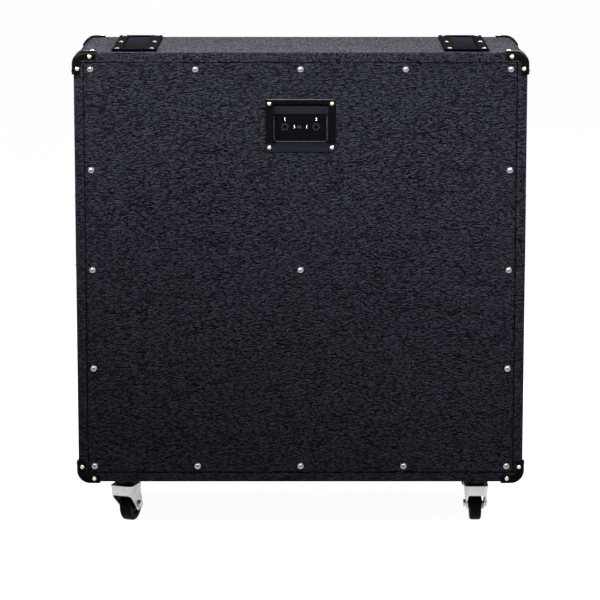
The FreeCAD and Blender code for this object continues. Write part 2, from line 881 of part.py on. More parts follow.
top_plate = turned("top_plate", [
    (GAP_OUTER, SEAT),
    ("top_plate_radius", SEAT),
    ("top_plate_radius", PLATE_BACK),
    (GAP_OUTER, PLATE_BACK),
])
ring_magnet = turned("ring_magnet", [
    ("magnet_hole", PLATE_BACK),
    ("magnet_radius", PLATE_BACK),
    ("magnet_radius", RING_BACK),
    ("magnet_hole", RING_BACK),
])
yoke = turned("yoke", [
    ("0", SEAT),
    ("pole_radius", SEAT),
    ("pole_radius", RING_BACK),
    ("yoke_radius", RING_BACK),
    ("yoke_radius", f"{RING_BACK} + yoke_thick"),
    ("0", f"{RING_BACK} + yoke_thick"),
])


def speaker_cone():
    """Paper cone with its rolled edge, voice coil and dust cap, which travel as one piece."""
    paper, mouth, neck = "cone_paper", "cone_mouth_depth", "cone_neck"
    coil_outer = "(coil_radius + coil_wall)"
    coil_end = f"({PLATE_BACK} + coil_overhang)"
    edge = f"({SKIRT} - skirt_draft*({mouth} + {paper} + cone_travel)/skirt_depth - rim_clearance)"
    roll_edge = f"({CONE} + roll_width)"
    fall = f"(({neck} - {mouth})/({CONE} - {coil_outer}))"
    cap_foot = f"({neck} - (cap_radius - {coil_outer})*{fall})"
    inner_radius = f"(cap_radius - 2*{paper})"
    inner_foot = f"({neck} - ({inner_radius} - {coil_outer})*{fall})"
    cap_top = f"({cap_foot} - cap_rise)"
    roll = dome("roll_width/2", "roll_rise")
    return turned("cone", [
        ("0", cap_top, dome("cap_radius", "cap_rise")),
        ("cap_radius", cap_foot),
        (CONE, mouth, roll),
        (roll_edge, mouth),
        (edge, mouth),
        (edge, f"{mouth} + {paper}"),
        (roll_edge, f"{mouth} + {paper}", f"-{roll}"),
        (CONE, f"{mouth} + {paper}"),
        (coil_outer, f"{neck} + {paper}"),
        (coil_outer, coil_end),
        ("coil_radius", coil_end),
        ("coil_radius", neck),
        (coil_outer, neck),
        (inner_radius, inner_foot, "-" + dome(inner_radius, f"{inner_foot} - {cap_top} - {paper}")),
        ("0", f"{cap_top} + {paper}"),
    ])


SPEAKER_PIECES = {
    "basket": [basket],
    "magnet": [top_plate, ring_magnet, yoke],
    "cone": [speaker_cone()],
}
speaker_places = {}
for row, (corner, tilt) in BAFFLE_FRAMES.items():
    for side, sign in SIDES.items():
        inward = Rotation(RIGHT, 90) * Rotation(UP, 0 if side == "left" else 180)
        seat = spot(f"{sign}*{SPEAKER_SPREAD}", f"-{BAFFLE_BACK}", SPEAKER_HEIGHT[row])
        where = Placement(spot(*corner), tilt) * Placement(seat, inward)
        speaker_places[row, side] = where
        for kind, members in SPEAKER_PIECES.items():
            piece = compound(f"{row}_{side}_{kind}", members)
            piece.Placement = where
            node(f"{row}_{side}_speaker_{kind}", piece)


def speaker_bolt_places():
    """Bolts round each flange, driven forward into the baffle."""
    count = int(value("bolt_count"))
    seat = spot(BOLT_CIRCLE, "0", "basket_sheet")
    for where in speaker_places.values():
        for index in range(count):
            turn = Rotation(UP, 360 * (index + 0.5) / count)
            yield where * Placement(Vector(), turn) * Placement(seat, Rotation())


speaker_bolt = screw("speaker_bolt", "bolt_radius", "bolt_length", "bolt_head_radius", "bolt_head_rise")
node("speaker_bolts", copies("speaker_bolts", speaker_bolt, speaker_bolt_places()))

# Small screws shared by the corners, the jack plate, the trays, the handles and the castor sockets

small_screw = screw(
    "small_screw", "small_screw_radius", "small_screw_length", "small_head_radius", "small_head_rise")
small_hole = cylinder(
    "small_hole", "small_screw_radius + hole_clearance", "2*small_screw_length",
    ("0", "0", "-small_screw_length"))

# Corner protectors: a skin over each corner of the body, with a leg along each edge

corner_skin = cut("corner_skin", envelope("corner_form", "corner_wall"), [outer_form])
BROW = f"({REAR} + top_depth)"
ENDS = {"rear": -1, "front": 1}
LEVELS = {"top": (TOP, 1), "bottom": (BOTTOM, -1)}


def low_side(plane, outward, reach):
    """The lower end of a stretch that reaches inward from just outside a face."""
    return f"{plane} + corner_wall - {reach}" if outward > 0 else f"{plane} - corner_wall"


def corner_legs(name, side, level, end):
    """The three stretches of skin that one protector keeps."""
    sign, (level_plane, upward), outward = SIDES[side], LEVELS[level], ENDS[end]
    side_plane = f"{sign}*body_width/2"
    width, length = "(corner_width + corner_wall)", "(corner_leg + corner_wall)"
    reaches = [(length, width, width), (width, length, width), (width, width, length)]
    if (end, level) != ("front", "top"):
        end_plane = REAR if end == "rear" else FRONT
        return [
            box(f"{name}_leg_{index}", (x, y, z), (
                low_side(side_plane, sign, x),
                low_side(end_plane, outward, y),
                low_side(level_plane, upward, z),
            ))
            for index, (x, y, z) in enumerate(reaches)
        ]
    overhang = f"({width}*{SLOPE} + corner_wall)"
    legs = [
        box(f"{name}_leg_{index}", (x, f"{y} + {overhang}", z), (
            low_side(side_plane, sign, x),
            low_side(BROW, outward, y),
            low_side(level_plane, upward, z),
        ))
        for index, (x, y, z) in enumerate(reaches[:2])
    ]
    lean_sizes = (width, "corner_width + 2*corner_wall", "corner_leg + 2*corner_wall")
    leaning = box(f"{name}_leg_2", lean_sizes, (
        low_side(side_plane, sign, width),
        f"{BROW} - corner_width/{STRETCH} + corner_leg*{SLOPE}/{STRETCH}",
        f"{TOP} - corner_width*{SLOPE}/{STRETCH} - corner_leg/{STRETCH}",
    ), lean)
    return legs + [leaning]


def corner_screw_places(side, level, end):
    """Two screws on the end face, one on the level face and one on the side, none crossing another."""
    sign, (level_plane, upward), outward = SIDES[side], LEVELS[level], ENDS[end]
    leaning = (end, level) == ("front", "top")
    end_plane = {"rear": REAR, "front": BROW if leaning else FRONT}[end]
    face = Placement(spot("0", end_plane, level_plane), lean if leaning else Rotation())
    proud, inward = f"{outward}*corner_wall", f"-{outward}*corner_screw_in"
    on_level_leg = spot(
        f"{sign}*(body_width/2 - corner_screw_along)", proud, f"-{upward}*corner_screw_in")
    on_upright_leg = spot(
        f"{sign}*(body_width/2 - corner_screw_in)", proud, f"-{upward}*corner_screw_along")
    on_level = spot(
        f"{sign}*(body_width/2 - corner_screw_side)",
        f"{end_plane} + {inward}",
        f"{level_plane} + {upward}*corner_wall")
    on_side = spot(f"{sign}*(body_width/2 + corner_wall)", inward, f"-{upward}*corner_screw_side")
    to_end = Rotation(UP, face.Rotation.multVec(FORWARD * outward))
    return [
        Placement(face.multVec(on_level_leg), to_end),
        Placement(face.multVec(on_upright_leg), to_end),
        Placement(on_level, Rotation(UP, UP * upward)),
        Placement(face.multVec(on_side), Rotation(UP, RIGHT * sign)),
    ]


all_corner_screws = []
for end in ENDS:
    for level in LEVELS:
        for side in SIDES:
            label = f"{end}_{level}_{side}_corner"
            places = corner_screw_places(side, level, end)
            all_corner_screws += places
            legs = fuse(label + "_legs", corner_legs(label, side, level, end))
            skin = common(label + "_skin", [corner_skin, legs])
            node(label, cut(label, skin, [copies(label + "_holes", small_hole, places)]))
node("corner_screws", copies("corner_screws", small_screw, all_corner_screws))

# Recessed jack plate with two jacks and a slide switch, its own Z pointing to the rear

DISH_FLOOR = "(plate_wall - dish_depth)"
FLOOR_MIDDLE = ("0", "-dish_floor_drop")
plate_screws = [(f"{x}*plate_screw_x", f"{y}*plate_screw_y") for x in (-1, 1) for y in (-1, 1)]
SLOT_LENGTH = "(slider_length + slider_travel + 2*slider_clearance)"
SLOT_WIDTH = "(slider_width + 2*slider_clearance)"
JACK_Z = f"({BOTTOM} + jack_plate_height)"
plate_frame = Placement(spot("0", f"{REAR} + panel_inset", JACK_Z), to_the_rear)


def jack_plate():
    """A moulded dish with a flange: sloping walls down to a floor with holes."""
    body = new_body("jack_plate")
    flange = rounded_rectangle(
        body, "plate_outline", "XY_Plane", "plate_width", "plate_height", "plate_corner")
    face = pad(body, "plate_flange", flange, "plate_flange")
    soften(body, "plate_edge", face, top_edges(face.Shape), "plate_bevel")
    tub_top = rounded_rectangle(body, "tub_top", "XY_Plane", DISH_WIDTH, DISH_HEIGHT, "dish_corner")
    tub_foot = rounded_rectangle(
        body, "tub_foot", "XY_Plane", "dish_floor_width + 2*plate_wall", "dish_floor_height + 2*plate_wall",
        "dish_corner", "-dish_depth", middle=FLOOR_MIDDLE)
    loft(body, "tub", "Additive", tub_top, tub_foot)
    mouth = rounded_rectangle(
        body, "dish_mouth", "XY_Plane", "mouth_width", "mouth_height", "dish_corner", "plate_flange")
    floor = rounded_rectangle(
        body, "dish_floor", "XY_Plane", "dish_floor_width", "dish_floor_height", "dish_corner", DISH_FLOOR,
        middle=FLOOR_MIDDLE)
    loft(body, "dish", "Subtractive", mouth, floor)
    jack_holes = circles(body, "jack_holes", "XY_Plane", [
        (f"{sign}*jack_spacing/2", "-jack_drop", "jack_bush + hole_clearance") for sign in SIDES.values()])
    pocket(body, "jack_openings", jack_holes, "2*dish_depth")
    slot = outline(body, "slot", "XY_Plane", [
        (f"-{SLOT_LENGTH}/2", f"-jack_drop - {SLOT_WIDTH}/2"),
        (f"{SLOT_LENGTH}/2", f"-jack_drop - {SLOT_WIDTH}/2"),
        (f"{SLOT_LENGTH}/2", f"{SLOT_WIDTH}/2 - jack_drop"),
        (f"-{SLOT_LENGTH}/2", f"{SLOT_WIDTH}/2 - jack_drop"),
    ])
    pocket(body, "slot_opening", slot, "2*dish_depth")
    holes = [(x, y, "small_screw_radius + hole_clearance") for x, y in plate_screws]
    hole_plan = circles(body, "plate_hole_spots", "XY_Plane", holes)
    pocket(body, "plate_holes", hole_plan, "4*plate_flange", symmetric=True)
    place(body, "0", f"{REAR} + panel_inset", JACK_Z, to_the_rear)
    return body


node("jack_plate", jack_plate())
plate_screw_places = [
    plate_frame * Placement(spot(x, y, "plate_flange"), Rotation()) for x, y in plate_screws]
node("jack_plate_screws", copies("jack_plate_screws", small_screw, plate_screw_places))

JACK_BACK = "(-plate_wall - jack_body_length)"
jack = turned("jack", [
    ("0", JACK_BACK),
    ("jack_body_radius", JACK_BACK),
    ("jack_body_radius", "-plate_wall"),
    ("jack_bush", "-plate_wall"),
    ("jack_bush", "jack_collar"),
    ("jack_bore", "jack_collar"),
    ("jack_bore", f"{JACK_BACK} + jack_end_wall"),
    ("0", f"{JACK_BACK} + jack_end_wall"),
])
nut_blank = doc.addObject("Part::Prism", "nut_blank")
bind(nut_blank, "Circumradius", "jack_nut_radius")
bind(nut_blank, "Height", "jack_nut_thick")
nut_hole = cylinder(
    "nut_hole", "jack_bush + hole_clearance/2", "3*jack_nut_thick", ("0", "0", "-jack_nut_thick"))
jack_nut = cut("jack_nut", nut_blank, [nut_hole])
for side, sign in SIDES.items():
    piece = compound(f"{side}_jack", [jack, jack_nut])
    piece.Placement = plate_frame * Placement(
        spot(f"{sign}*jack_spacing/2", "-jack_drop", DISH_FLOOR), Rotation())
    node(f"{side}_jack", piece)

switch_case = box("switch_case", ("switch_length", "switch_width", "switch_depth"), (
    "-switch_length/2", "-switch_width/2", "-plate_wall - switch_depth"))
switch_well = box("switch_well", (SLOT_LENGTH, SLOT_WIDTH, "slider_foot + slider_clearance"), (
    f"-{SLOT_LENGTH}/2", f"-{SLOT_WIDTH}/2", "-plate_wall - slider_foot - slider_clearance"))
mode_switch = compound("mode_switch", [cut("switch_body", switch_case, [switch_well])])
mode_switch.Placement = plate_frame * Placement(spot("0", "-jack_drop", DISH_FLOOR), Rotation())
node("mode_switch", mode_switch)


def switch_slider():
    """The finger piece, at the left end of its slot, with a notch across its top."""
    body = new_body("switch_slider")
    low, high = "(-plate_wall - slider_foot)", "slider_rise"
    half, notch = "(slider_length/2)", "slider_notch"
    side_view = outline(body, "slider_side", "XZ_Plane", [
        (f"-{half}", low),
        (half, low),
        (half, high),
        (notch, high),
        ("0", f"{high} - {notch}"),
        (f"-{notch}", high),
        (f"-{half}", high),
    ])
    pad(body, "slider_block", side_view, "slider_width", symmetric=True)
    body.Placement = plate_frame * Placement(spot("-slider_travel/2", "-jack_drop", DISH_FLOOR), Rotation())
    return body


node("switch_slider", switch_slider())

# Trays on the top board for an amplifier's feet


def foot_tray():
    """A bevelled plate with a shallow trough along it."""
    body = new_body("foot_tray")
    plan = rounded_rectangle(body, "tray_plan", "XY_Plane", "tray_width", "tray_length", "tray_corner")
    plate = pad(body, "tray_plate", plan, "tray_thick")
    soften(body, "tray_edge", plate, top_edges(plate.Shape), "tray_bevel", "Chamfer")
    trough = rounded_rectangle(
        body, "trough_plan", "XY_Plane", "trough_width", "trough_length", "trough_corner", "tray_thick")
    pocket(body, "trough", trough, "trough_depth")
    holes = [(x, y, "small_screw_radius + hole_clearance") for x, y in tray_screws]
    hole_plan = circles(body, "tray_hole_spots", "XY_Plane", holes, "tray_thick")
    pocket(body, "tray_holes", hole_plan, "2*tray_thick")
    return body


tray_screws = [(f"{x}*tray_screw_x", f"{y}*tray_screw_pitch") for x in (-1, 1) for y in (-1, 0, 1)]
tray = foot_tray()
tray_screw_places = []
for side, sign in SIDES.items():
    piece = compound(f"{side}_foot_tray", [tray])
    place(piece, f"{sign}*(body_width/2 - tray_side)", f"{REAR} + top_depth/2", TOP)
    node(f"{side}_foot_tray", piece)
    tray_screw_places += [
        piece.Placement * Placement(spot(x, y, "tray_thick"), Rotation()) for x, y in tray_screws]
node("tray_screws", copies("tray_screws", small_screw, tray_screw_places))

# Recessed side handles, each with its own Z pointing out of the side


def side_handle():
    """A moulded bucket whose upper lip hangs over a pocket for the fingers."""
    body = new_body("side_handle")
    flange = rounded_rectangle(body, "flange_plan", "XY_Plane", HANDLE_LENGTH, "handle_tall", "handle_corner")
    face = pad(body, "handle_flange", flange, "handle_flange")
    soften(body, "flange_edge", face, top_edges(face.Shape), "handle_flange/2")
    middle = ("0", TUB_MIDDLE)
    grip_length, inner_corner = f"({TUB_LENGTH} - 2*handle_wall)", "grip_corner - handle_wall"
    tub = rounded_rectangle(body, "tub_plan", "XY_Plane", TUB_LENGTH, TUB_TALL, "grip_corner", middle=middle)
    pad(body, "tub", tub, "grip_depth + handle_wall", reverse=True)
    hollow = rounded_rectangle(
        body, "hollow_plan", "XY_Plane", grip_length, "grip_mouth + grip_pocket", inner_corner,
        "-grip_lip", middle)
    pocket(body, "hollow", hollow, "grip_depth - grip_lip")
    mouth = rounded_rectangle(
        body, "mouth_plan", "XY_Plane", grip_length, "grip_mouth", inner_corner, "handle_flange")
    pocket(body, "mouth", mouth, "handle_flange + grip_lip")
    holes = [(x, y, "small_screw_radius + hole_clearance") for x, y in handle_screws]
    pocket(body, "handle_holes", circles(body, "handle_hole_spots", "XY_Plane", holes, "handle_flange"),
           "2*handle_flange")
    return body


handle_screws = [
    (f"{x}*({HANDLE_LENGTH}/2 - handle_screw_inset)", f"{y}*handle_screw_y")
    for x in (-1, 1)
    for y in (-1, 1)
]
handle = side_handle()
handle_screw_places = []
for side, sign in SIDES.items():
    piece = compound(f"{side}_handle", [handle])
    place(piece, f"{sign}*body_width/2", HANDLE_Y, HANDLE_Z, facing(RIGHT * sign))
    node(f"{side}_handle", piece)
    handle_screw_places += [
        piece.Placement * Placement(spot(x, y, "handle_flange"), Rotation()) for x, y in handle_screws]
node("handle_screws", copies("handle_screws", small_screw, handle_screw_places))

# Castors: a socket in the bottom board, a pressed fork that swivels in it and a wheel on an axle

CROWN = "(ground_gap - socket_sheet - race_depth - swivel_gap)"
FORK_FOOT = "(wheel_radius - fork_ear - fork_sheet)"


def castor_socket():
    """A plate under the board with a bowl below it and a sleeve up into the board."""
    core = turned("socket_core", [
        ("0", "-socket_sheet - race_depth"),
        ("race_foot", "-socket_sheet - race_depth", "race_curve"),
        ("race_radius", "-socket_sheet"),
        ("race_radius", "-socket_sheet/2"),
        ("socket_tube - hole_clearance", "-socket_sheet/2"),
        ("socket_tube - hole_clearance", "socket_length"),
        ("0", "socket_length"),
    ])
    body = new_body("socket_plate")
    plan = rounded_rectangle(body, "socket_plan", "XY_Plane", "socket_plate", "socket_plate", "socket_corner")
    pad(body, "socket_sheet", plan, "socket_sheet", reverse=True)
    holes = [(x, y, "small_screw_radius + hole_clearance") for x, y in socket_screws]
    pocket(body, "socket_holes", circles(body, "socket_hole_spots", "XY_Plane", holes), "2*socket_sheet")
    bore = cylinder(
        "socket_bore", "stem_radius + stem_clearance", "4*socket_length", ("0", "0", "-2*socket_length"))
    return cut("castor_socket", fuse("socket_blank", [core, body]), [bore])


def fork_section(body, name, half, nose, tail, radius, lift):
    """A level section through the fork: square at the tail, rounded at the nose."""
    return outline(body, name, "XY_Plane", [
        (f"-{half} + {radius}", f"-{nose}"),
        (f"{half} - {radius}", f"-{nose}", radius),
        (half, f"-{nose} + {radius}"),
        (half, tail),
        (f"-{half}", tail),
        (f"-{half}", f"-{nose} + {radius}", radius),
    ], lift)


def castor_fork():
    """A pressed fork: a tapering hood, hollow underneath, trimmed to legs that end round the axle."""
    body = new_body("fork_hood")
    reach, metal = "(wheel_trail + fork_ear)", "fork_sheet"
    crown = fork_section(body, "hood_crown", "fork_top_half", "fork_nose", reach, "fork_round", CROWN)
    foot = fork_section(body, "hood_foot", "fork_foot_half", "fork_nose", reach, "fork_round", FORK_FOOT)
    loft(body, "hood", "Additive", crown, foot)
    inner_radius = f"(fork_round - {metal})"
    inner_nose, inner_reach = f"(fork_nose - {metal})", f"({reach} + {metal})"
    ceiling = fork_section(
        body, "hollow_crown", f"(fork_top_half - {metal})", inner_nose, inner_reach, inner_radius,
        f"{CROWN} - {metal}")
    opening = fork_section(
        body, "hollow_foot", f"(fork_foot_half - {metal})", inner_nose, inner_reach, inner_radius,
        f"{FORK_FOOT} - {metal}")
    loft(body, "hood_hollow", "Subtractive", ceiling, opening)
    profile = new_body("fork_profile")
    # The ear's arc about the axle ends three fifths of its radius down and four fifths to each side.
    ear_low, ear_reach = "wheel_radius - 3/5*fork_ear", "4/5*fork_ear"
    side = outline(profile, "fork_side", "YZ_Plane", [
        ("-fork_nose", "fork_brow"),
        (f"wheel_trail - {ear_reach}", ear_low, "fork_ear"),
        (f"wheel_trail + {ear_reach}", ear_low),
        ("wheel_trail + fork_ear", "wheel_radius"),
        ("fork_tail", f"{CROWN} - fork_ear"),
        ("fork_tail", CROWN),
        ("-fork_nose", CROWN),
    ])
    pad(profile, "fork_block", side, "3*fork_top_half", symmetric=True)
    axle_hole = cylinder("axle_hole", "axle_radius + hole_clearance", "4*fork_top_half",
                         ("-2*fork_top_half", "wheel_trail", "wheel_radius"), Rotation(FORWARD, 90))
    return cut("castor_fork", common("fork_trimmed", [body, profile]), [axle_hole])


socket_screws = [(f"{x}*socket_screw", f"{y}*socket_screw") for x in (-1, 1) for y in (-1, 1)]
socket = castor_socket()
fork = castor_fork()
stem = cylinder("castor_stem", "stem_radius", "stem_length", ("0", "0", CROWN))
TAPER = f"((fork_top_half - fork_foot_half)/({CROWN} - {FORK_FOOT}))"
AXLE_SEAT = f"(fork_foot_half + (wheel_radius + axle_head_radius - {FORK_FOOT})*{TAPER})"
axle = turned("castor_axle", [
    ("0", f"-{AXLE_SEAT} - axle_head"),
    ("axle_head_radius", f"-{AXLE_SEAT} - axle_head"),
    ("axle_head_radius", f"-{AXLE_SEAT}"),
    ("axle_radius", f"-{AXLE_SEAT}"),
    ("axle_radius", AXLE_SEAT),
    ("axle_head_radius", AXLE_SEAT),
    ("axle_head_radius", f"{AXLE_SEAT} + axle_head"),
    ("0", f"{AXLE_SEAT} + axle_head"),
])
on_axle = Placement(spot("0", "wheel_trail", "wheel_radius"), Rotation(FORWARD, 90))
axle.Placement = on_axle


def castor_wheel():
    """A solid wheel with rounded tread edges, dished sides and a raised hub."""
    half, shoulder = "(wheel_width/2)", "wheel_shoulder"
    bore = "(axle_radius + axle_clearance)"
    dish, hub_end = f"({half} - wheel_dish)", f"({half} + hub_overhang)"
    return turned("castor_wheel", [
        (bore, f"-{hub_end}"),
        ("hub_radius", f"-{hub_end}"),
        ("hub_radius", f"-{dish}"),
        ("rim_inner", f"-{dish}"),
        ("rim_inner", f"-{half}"),
        (f"wheel_radius - {shoulder}", f"-{half}", shoulder),
        ("wheel_radius", f"-{half} + {shoulder}"),
        ("wheel_radius", f"{half} - {shoulder}", shoulder),
        (f"wheel_radius - {shoulder}", half),
        ("rim_inner", half),
        ("rim_inner", dish),
        ("hub_radius", dish),
        ("hub_radius", hub_end),
        (bore, hub_end),
    ])


wheel = castor_wheel()
socket_places = []
socket_screw_places = []
for name, (x, y) in castor_spots.items():
    yaw = Rotation(UP, -value("turned_castor") if name == "rear_left" else 0)
    piece = compound(f"{name}_fork", [fork, stem, axle])
    place(piece, x, y, "0", yaw)
    node(f"{name}_castor_fork", piece)
    rolling = compound(f"{name}_wheel", [wheel])
    rolling.Placement = Placement(spot(x, y, "0"), yaw) * on_axle
    node(f"{name}_castor_wheel", rolling)
    under_board = Placement(spot(x, y, BOTTOM), Rotation())
    socket_places.append(under_board)
    for screw_x, screw_y in socket_screws:
        head = Placement(spot(screw_x, screw_y, "-socket_sheet"), Rotation(UP, -UP))
        socket_screw_places.append(under_board * head)
node("castor_sockets", copies("castor_sockets", socket, socket_places))
node("castor_socket_screws", copies("castor_socket_screws", small_screw, socket_screw_places))

# Leads from the jacks to the speakers


def lead(points):
    """A round lead along straight runs that are joined by arcs."""
    bend = value("lead_bend")
    edges = []
    start = points[0]
    for before, corner, after in zip(points, points[1:], points[2:]):
        incoming, outgoing = (corner - before).normalize(), (after - corner).normalize()
        half_turn = incoming.getAngle(outgoing) / 2
        setback = bend * math.tan(half_turn)
        entry, leave = corner - incoming * setback, corner + outgoing * setback
        inward = (outgoing - incoming).normalize()
        crest = corner + inward * bend * (1 / math.cos(half_turn) - 1)
        edges += [Part.makeLine(start, entry), Part.Arc(entry, crest, leave).toShape()]
        start = leave
    edges.append(Part.makeLine(start, points[-1]))
    route = Part.Wire(edges)
    ring = Part.Wire(Part.makeCircle(value("lead_radius"), points[0], points[1] - points[0]))
    tube = route.makePipeShell([ring], True, False)
    expected = math.pi * value("lead_radius") ** 2 * route.Length
    print("lead volume over section times length:", round(tube.Volume / expected, 4))
    return tube


def speaker_leads():
    """From the back of each jack to the terminals of the two speakers on its side."""
    tubes = []
    for (row, side), where in speaker_places.items():
        beside = "2*lead_radius" if row == "upper" else "-2*lead_radius"
        behind = f"{DISH_FLOOR} + {JACK_BACK} - lead_gap"
        jack_end = spot(f"{SIDES[side]}*jack_spacing/2", f"{beside} - jack_drop", behind)
        start = plate_frame.multVec(jack_end)
        terminal = f"{TAB} + tab_length/2"
        tubes.append(lead([
            start,
            start + FORWARD * value("2*lead_bend"),
            where.multVec(spot(terminal, "0", "tab_top + 2*lead_bend")),
            where.multVec(spot(terminal, "0", "tab_top + lead_gap")),
        ]))
    group = doc.addObject("Part::Feature", "speaker_leads")
    group.Shape = Part.makeCompound(tubes)
    return group


node("speaker_leads", speaker_leads())

# Check every object, then write one file for each sub-part

doc.recompute()
for item in doc.Objects:
    if {"Invalid", "Error"} & set(item.State):
        raise RuntimeError(f"{item.Name} did not build: {item.State}")
for label, item in nodes.items():
    if item.Shape.isNull() or not item.Shape.isValid() or not item.Shape.Solids:
        raise RuntimeError(f"{label} has no valid solid")
os.makedirs("parts", exist_ok=True)
for label, item in nodes.items():
    item.Shape.exportStep(f"parts/{label}.step")
print(len(nodes), "sub-parts written")
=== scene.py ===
import json
import math
import random

import bmesh
import bpy
from mathutils import Matrix, Vector

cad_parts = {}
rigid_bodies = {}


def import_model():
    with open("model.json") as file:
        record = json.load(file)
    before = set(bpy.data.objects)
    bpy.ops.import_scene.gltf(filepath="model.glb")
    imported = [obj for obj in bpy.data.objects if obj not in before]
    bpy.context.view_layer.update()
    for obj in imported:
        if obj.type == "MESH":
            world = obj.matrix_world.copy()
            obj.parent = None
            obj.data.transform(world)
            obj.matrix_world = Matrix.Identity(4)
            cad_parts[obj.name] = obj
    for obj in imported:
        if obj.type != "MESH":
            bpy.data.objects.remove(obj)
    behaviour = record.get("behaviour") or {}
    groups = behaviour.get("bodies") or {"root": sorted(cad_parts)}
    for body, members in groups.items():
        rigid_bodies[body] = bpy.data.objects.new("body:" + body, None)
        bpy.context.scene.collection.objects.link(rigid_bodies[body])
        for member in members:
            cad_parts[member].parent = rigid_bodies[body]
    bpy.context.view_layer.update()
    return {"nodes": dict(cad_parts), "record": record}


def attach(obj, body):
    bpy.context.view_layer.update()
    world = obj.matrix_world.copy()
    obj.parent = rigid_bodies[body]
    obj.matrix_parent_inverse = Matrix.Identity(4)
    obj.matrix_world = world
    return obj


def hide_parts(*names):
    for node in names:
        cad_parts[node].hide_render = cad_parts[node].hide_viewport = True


# Looks for the guitar speaker cabinet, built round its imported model.
# Metres: X to the right as seen from the rear, Y from the rear panel to the grille, Z up.

for stray in list(bpy.data.objects):
    bpy.data.objects.remove(stray)
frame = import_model()
nodes = frame["nodes"]
MM = 0.001

# Sizes that pieces and finishes share with the model
FRONT = 180 * MM
REAR = -180 * MM
BOTTOM = 88 * MM
KNEE = 458 * MM
TOP = 828 * MM
LEAN = math.atan2(92, 370)
BOARD = 16 * MM
INSIDE = 365 * MM
CLOTH_DEPTH = 18.8 * MM
PLATE_HEIGHT = 705 * MM
PLATE_EDGE = PLATE_HEIGHT + 43.2 * MM
DISH_FLOOR = -162 * MM
DISH_HEIGHT = 698 * MM
DISH_TALL = 48 * MM
TRAY_X = 280 * MM
TRAY_Y = -46 * MM
TROUGH_WIDTH = 40 * MM
TROUGH_LENGTH = 212 * MM


def new_object(name, data):
    """An object in the scene that carries a mesh, a curve, a lamp or a camera."""
    made = bpy.data.objects.new(name, data)
    bpy.context.scene.collection.objects.link(made)
    return made


# Materials


class Graph:
    """A material's nodes, with short calls to add and join them."""

    def __init__(self, name, **uniform):
        self.material = bpy.data.materials.new(name)
        self.material.use_nodes = True
        self.tree = self.material.node_tree
        self.shader = self.tree.nodes["Principled BSDF"]
        self.place = self.add("TexCoord").outputs["Object"]
        for socket, number in uniform.items():
            self.shader.inputs[socket.replace("_", " ")].default_value = number

    def add(self, kind, inputs=None, **settings):
        node = self.tree.nodes.new("ShaderNode" + kind)
        for name, setting in settings.items():
            setattr(node, name, setting)
        for name, source in (inputs or {}).items():
            self.feed(node.inputs[name], source)
        return node

    def feed(self, socket, source):
        if isinstance(source, bpy.types.NodeSocket):
            self.tree.links.new(source, socket)
        else:
            socket.default_value = source

    def shade(self, name, source):
        self.feed(self.shader.inputs[name], source)

    def axes(self):
        """The place on the piece as X, Y and Z."""
        return self.add("SeparateXYZ", {"Vector": self.place}).outputs

    def stretch(self, x, y, z):
        return self.add("Mapping", {"Vector": self.place, "Scale": (x, y, z)}).outputs["Vector"]

    def noise(self, vector, scale, detail=3.0, rough=0.5, output="Fac"):
        return self.add("TexNoise", {
            "Vector": vector, "Scale": scale, "Detail": detail, "Roughness": rough,
        }).outputs[output]

    def speckle(self, grain):
        """Fine even noise, with its grain given per metre."""
        return self.noise(self.place, grain, 3.0, 0.65)

    def edges(self, vector, scale):
        """The distance to the nearest border of irregular cells."""
        return self.add(
            "TexVoronoi", {"Vector": vector, "Scale": scale}, feature="DISTANCE_TO_EDGE",
        ).outputs["Distance"]

    def math(self, operation, first, second=0.0):
        made = self.add("Math", operation=operation)
        self.feed(made.inputs[0], first)
        self.feed(made.inputs[1], second)
        return made.outputs[0]

    def wave(self, source, rate):
        return self.math("SINE", self.math("MULTIPLY", source, rate))

    def away(self, source, middle):
        """The distance of a source from a middle value."""
        return self.math("ABSOLUTE", self.math("SUBTRACT", source, middle))

    def weigh(self, *shares):
        """The sum of sources, each times its share."""
        terms = [self.math("MULTIPLY", source, share) for source, share in shares]
        total = terms[0]
        for term in terms[1:]:
            total = self.math("ADD", total, term)
        return total

    def span(self, source, low, high, to_low, to_high):
        made = self.add("MapRange", {
            "Value": source, "From Min": low, "From Max": high, "To Min": to_low, "To Max": to_high,
        }, interpolation_type="SMOOTHSTEP")
        return made.outputs["Result"]

    def ramp(self, source, stops):
        made = self.add("ValToRGB", {"Fac": source})
        ramp = made.color_ramp
        while len(ramp.elements) < len(stops):
            ramp.elements.new(0.5)
        for element, (at, color) in zip(ramp.elements, stops):
            element.position = at
            element.color = (*color, 1.0)
        return made.outputs["Color"]

    def paint(self, source, *stops):
        """A base colour that follows a source through stops of place and colour."""
        self.shade("Base Color", self.ramp(source, stops))

    def bump(self, height, distance, strength=1.0):
        made = self.add("Bump", {"Height": height, "Distance": distance, "Strength": strength})
        self.shade("Normal", made.outputs["Normal"])


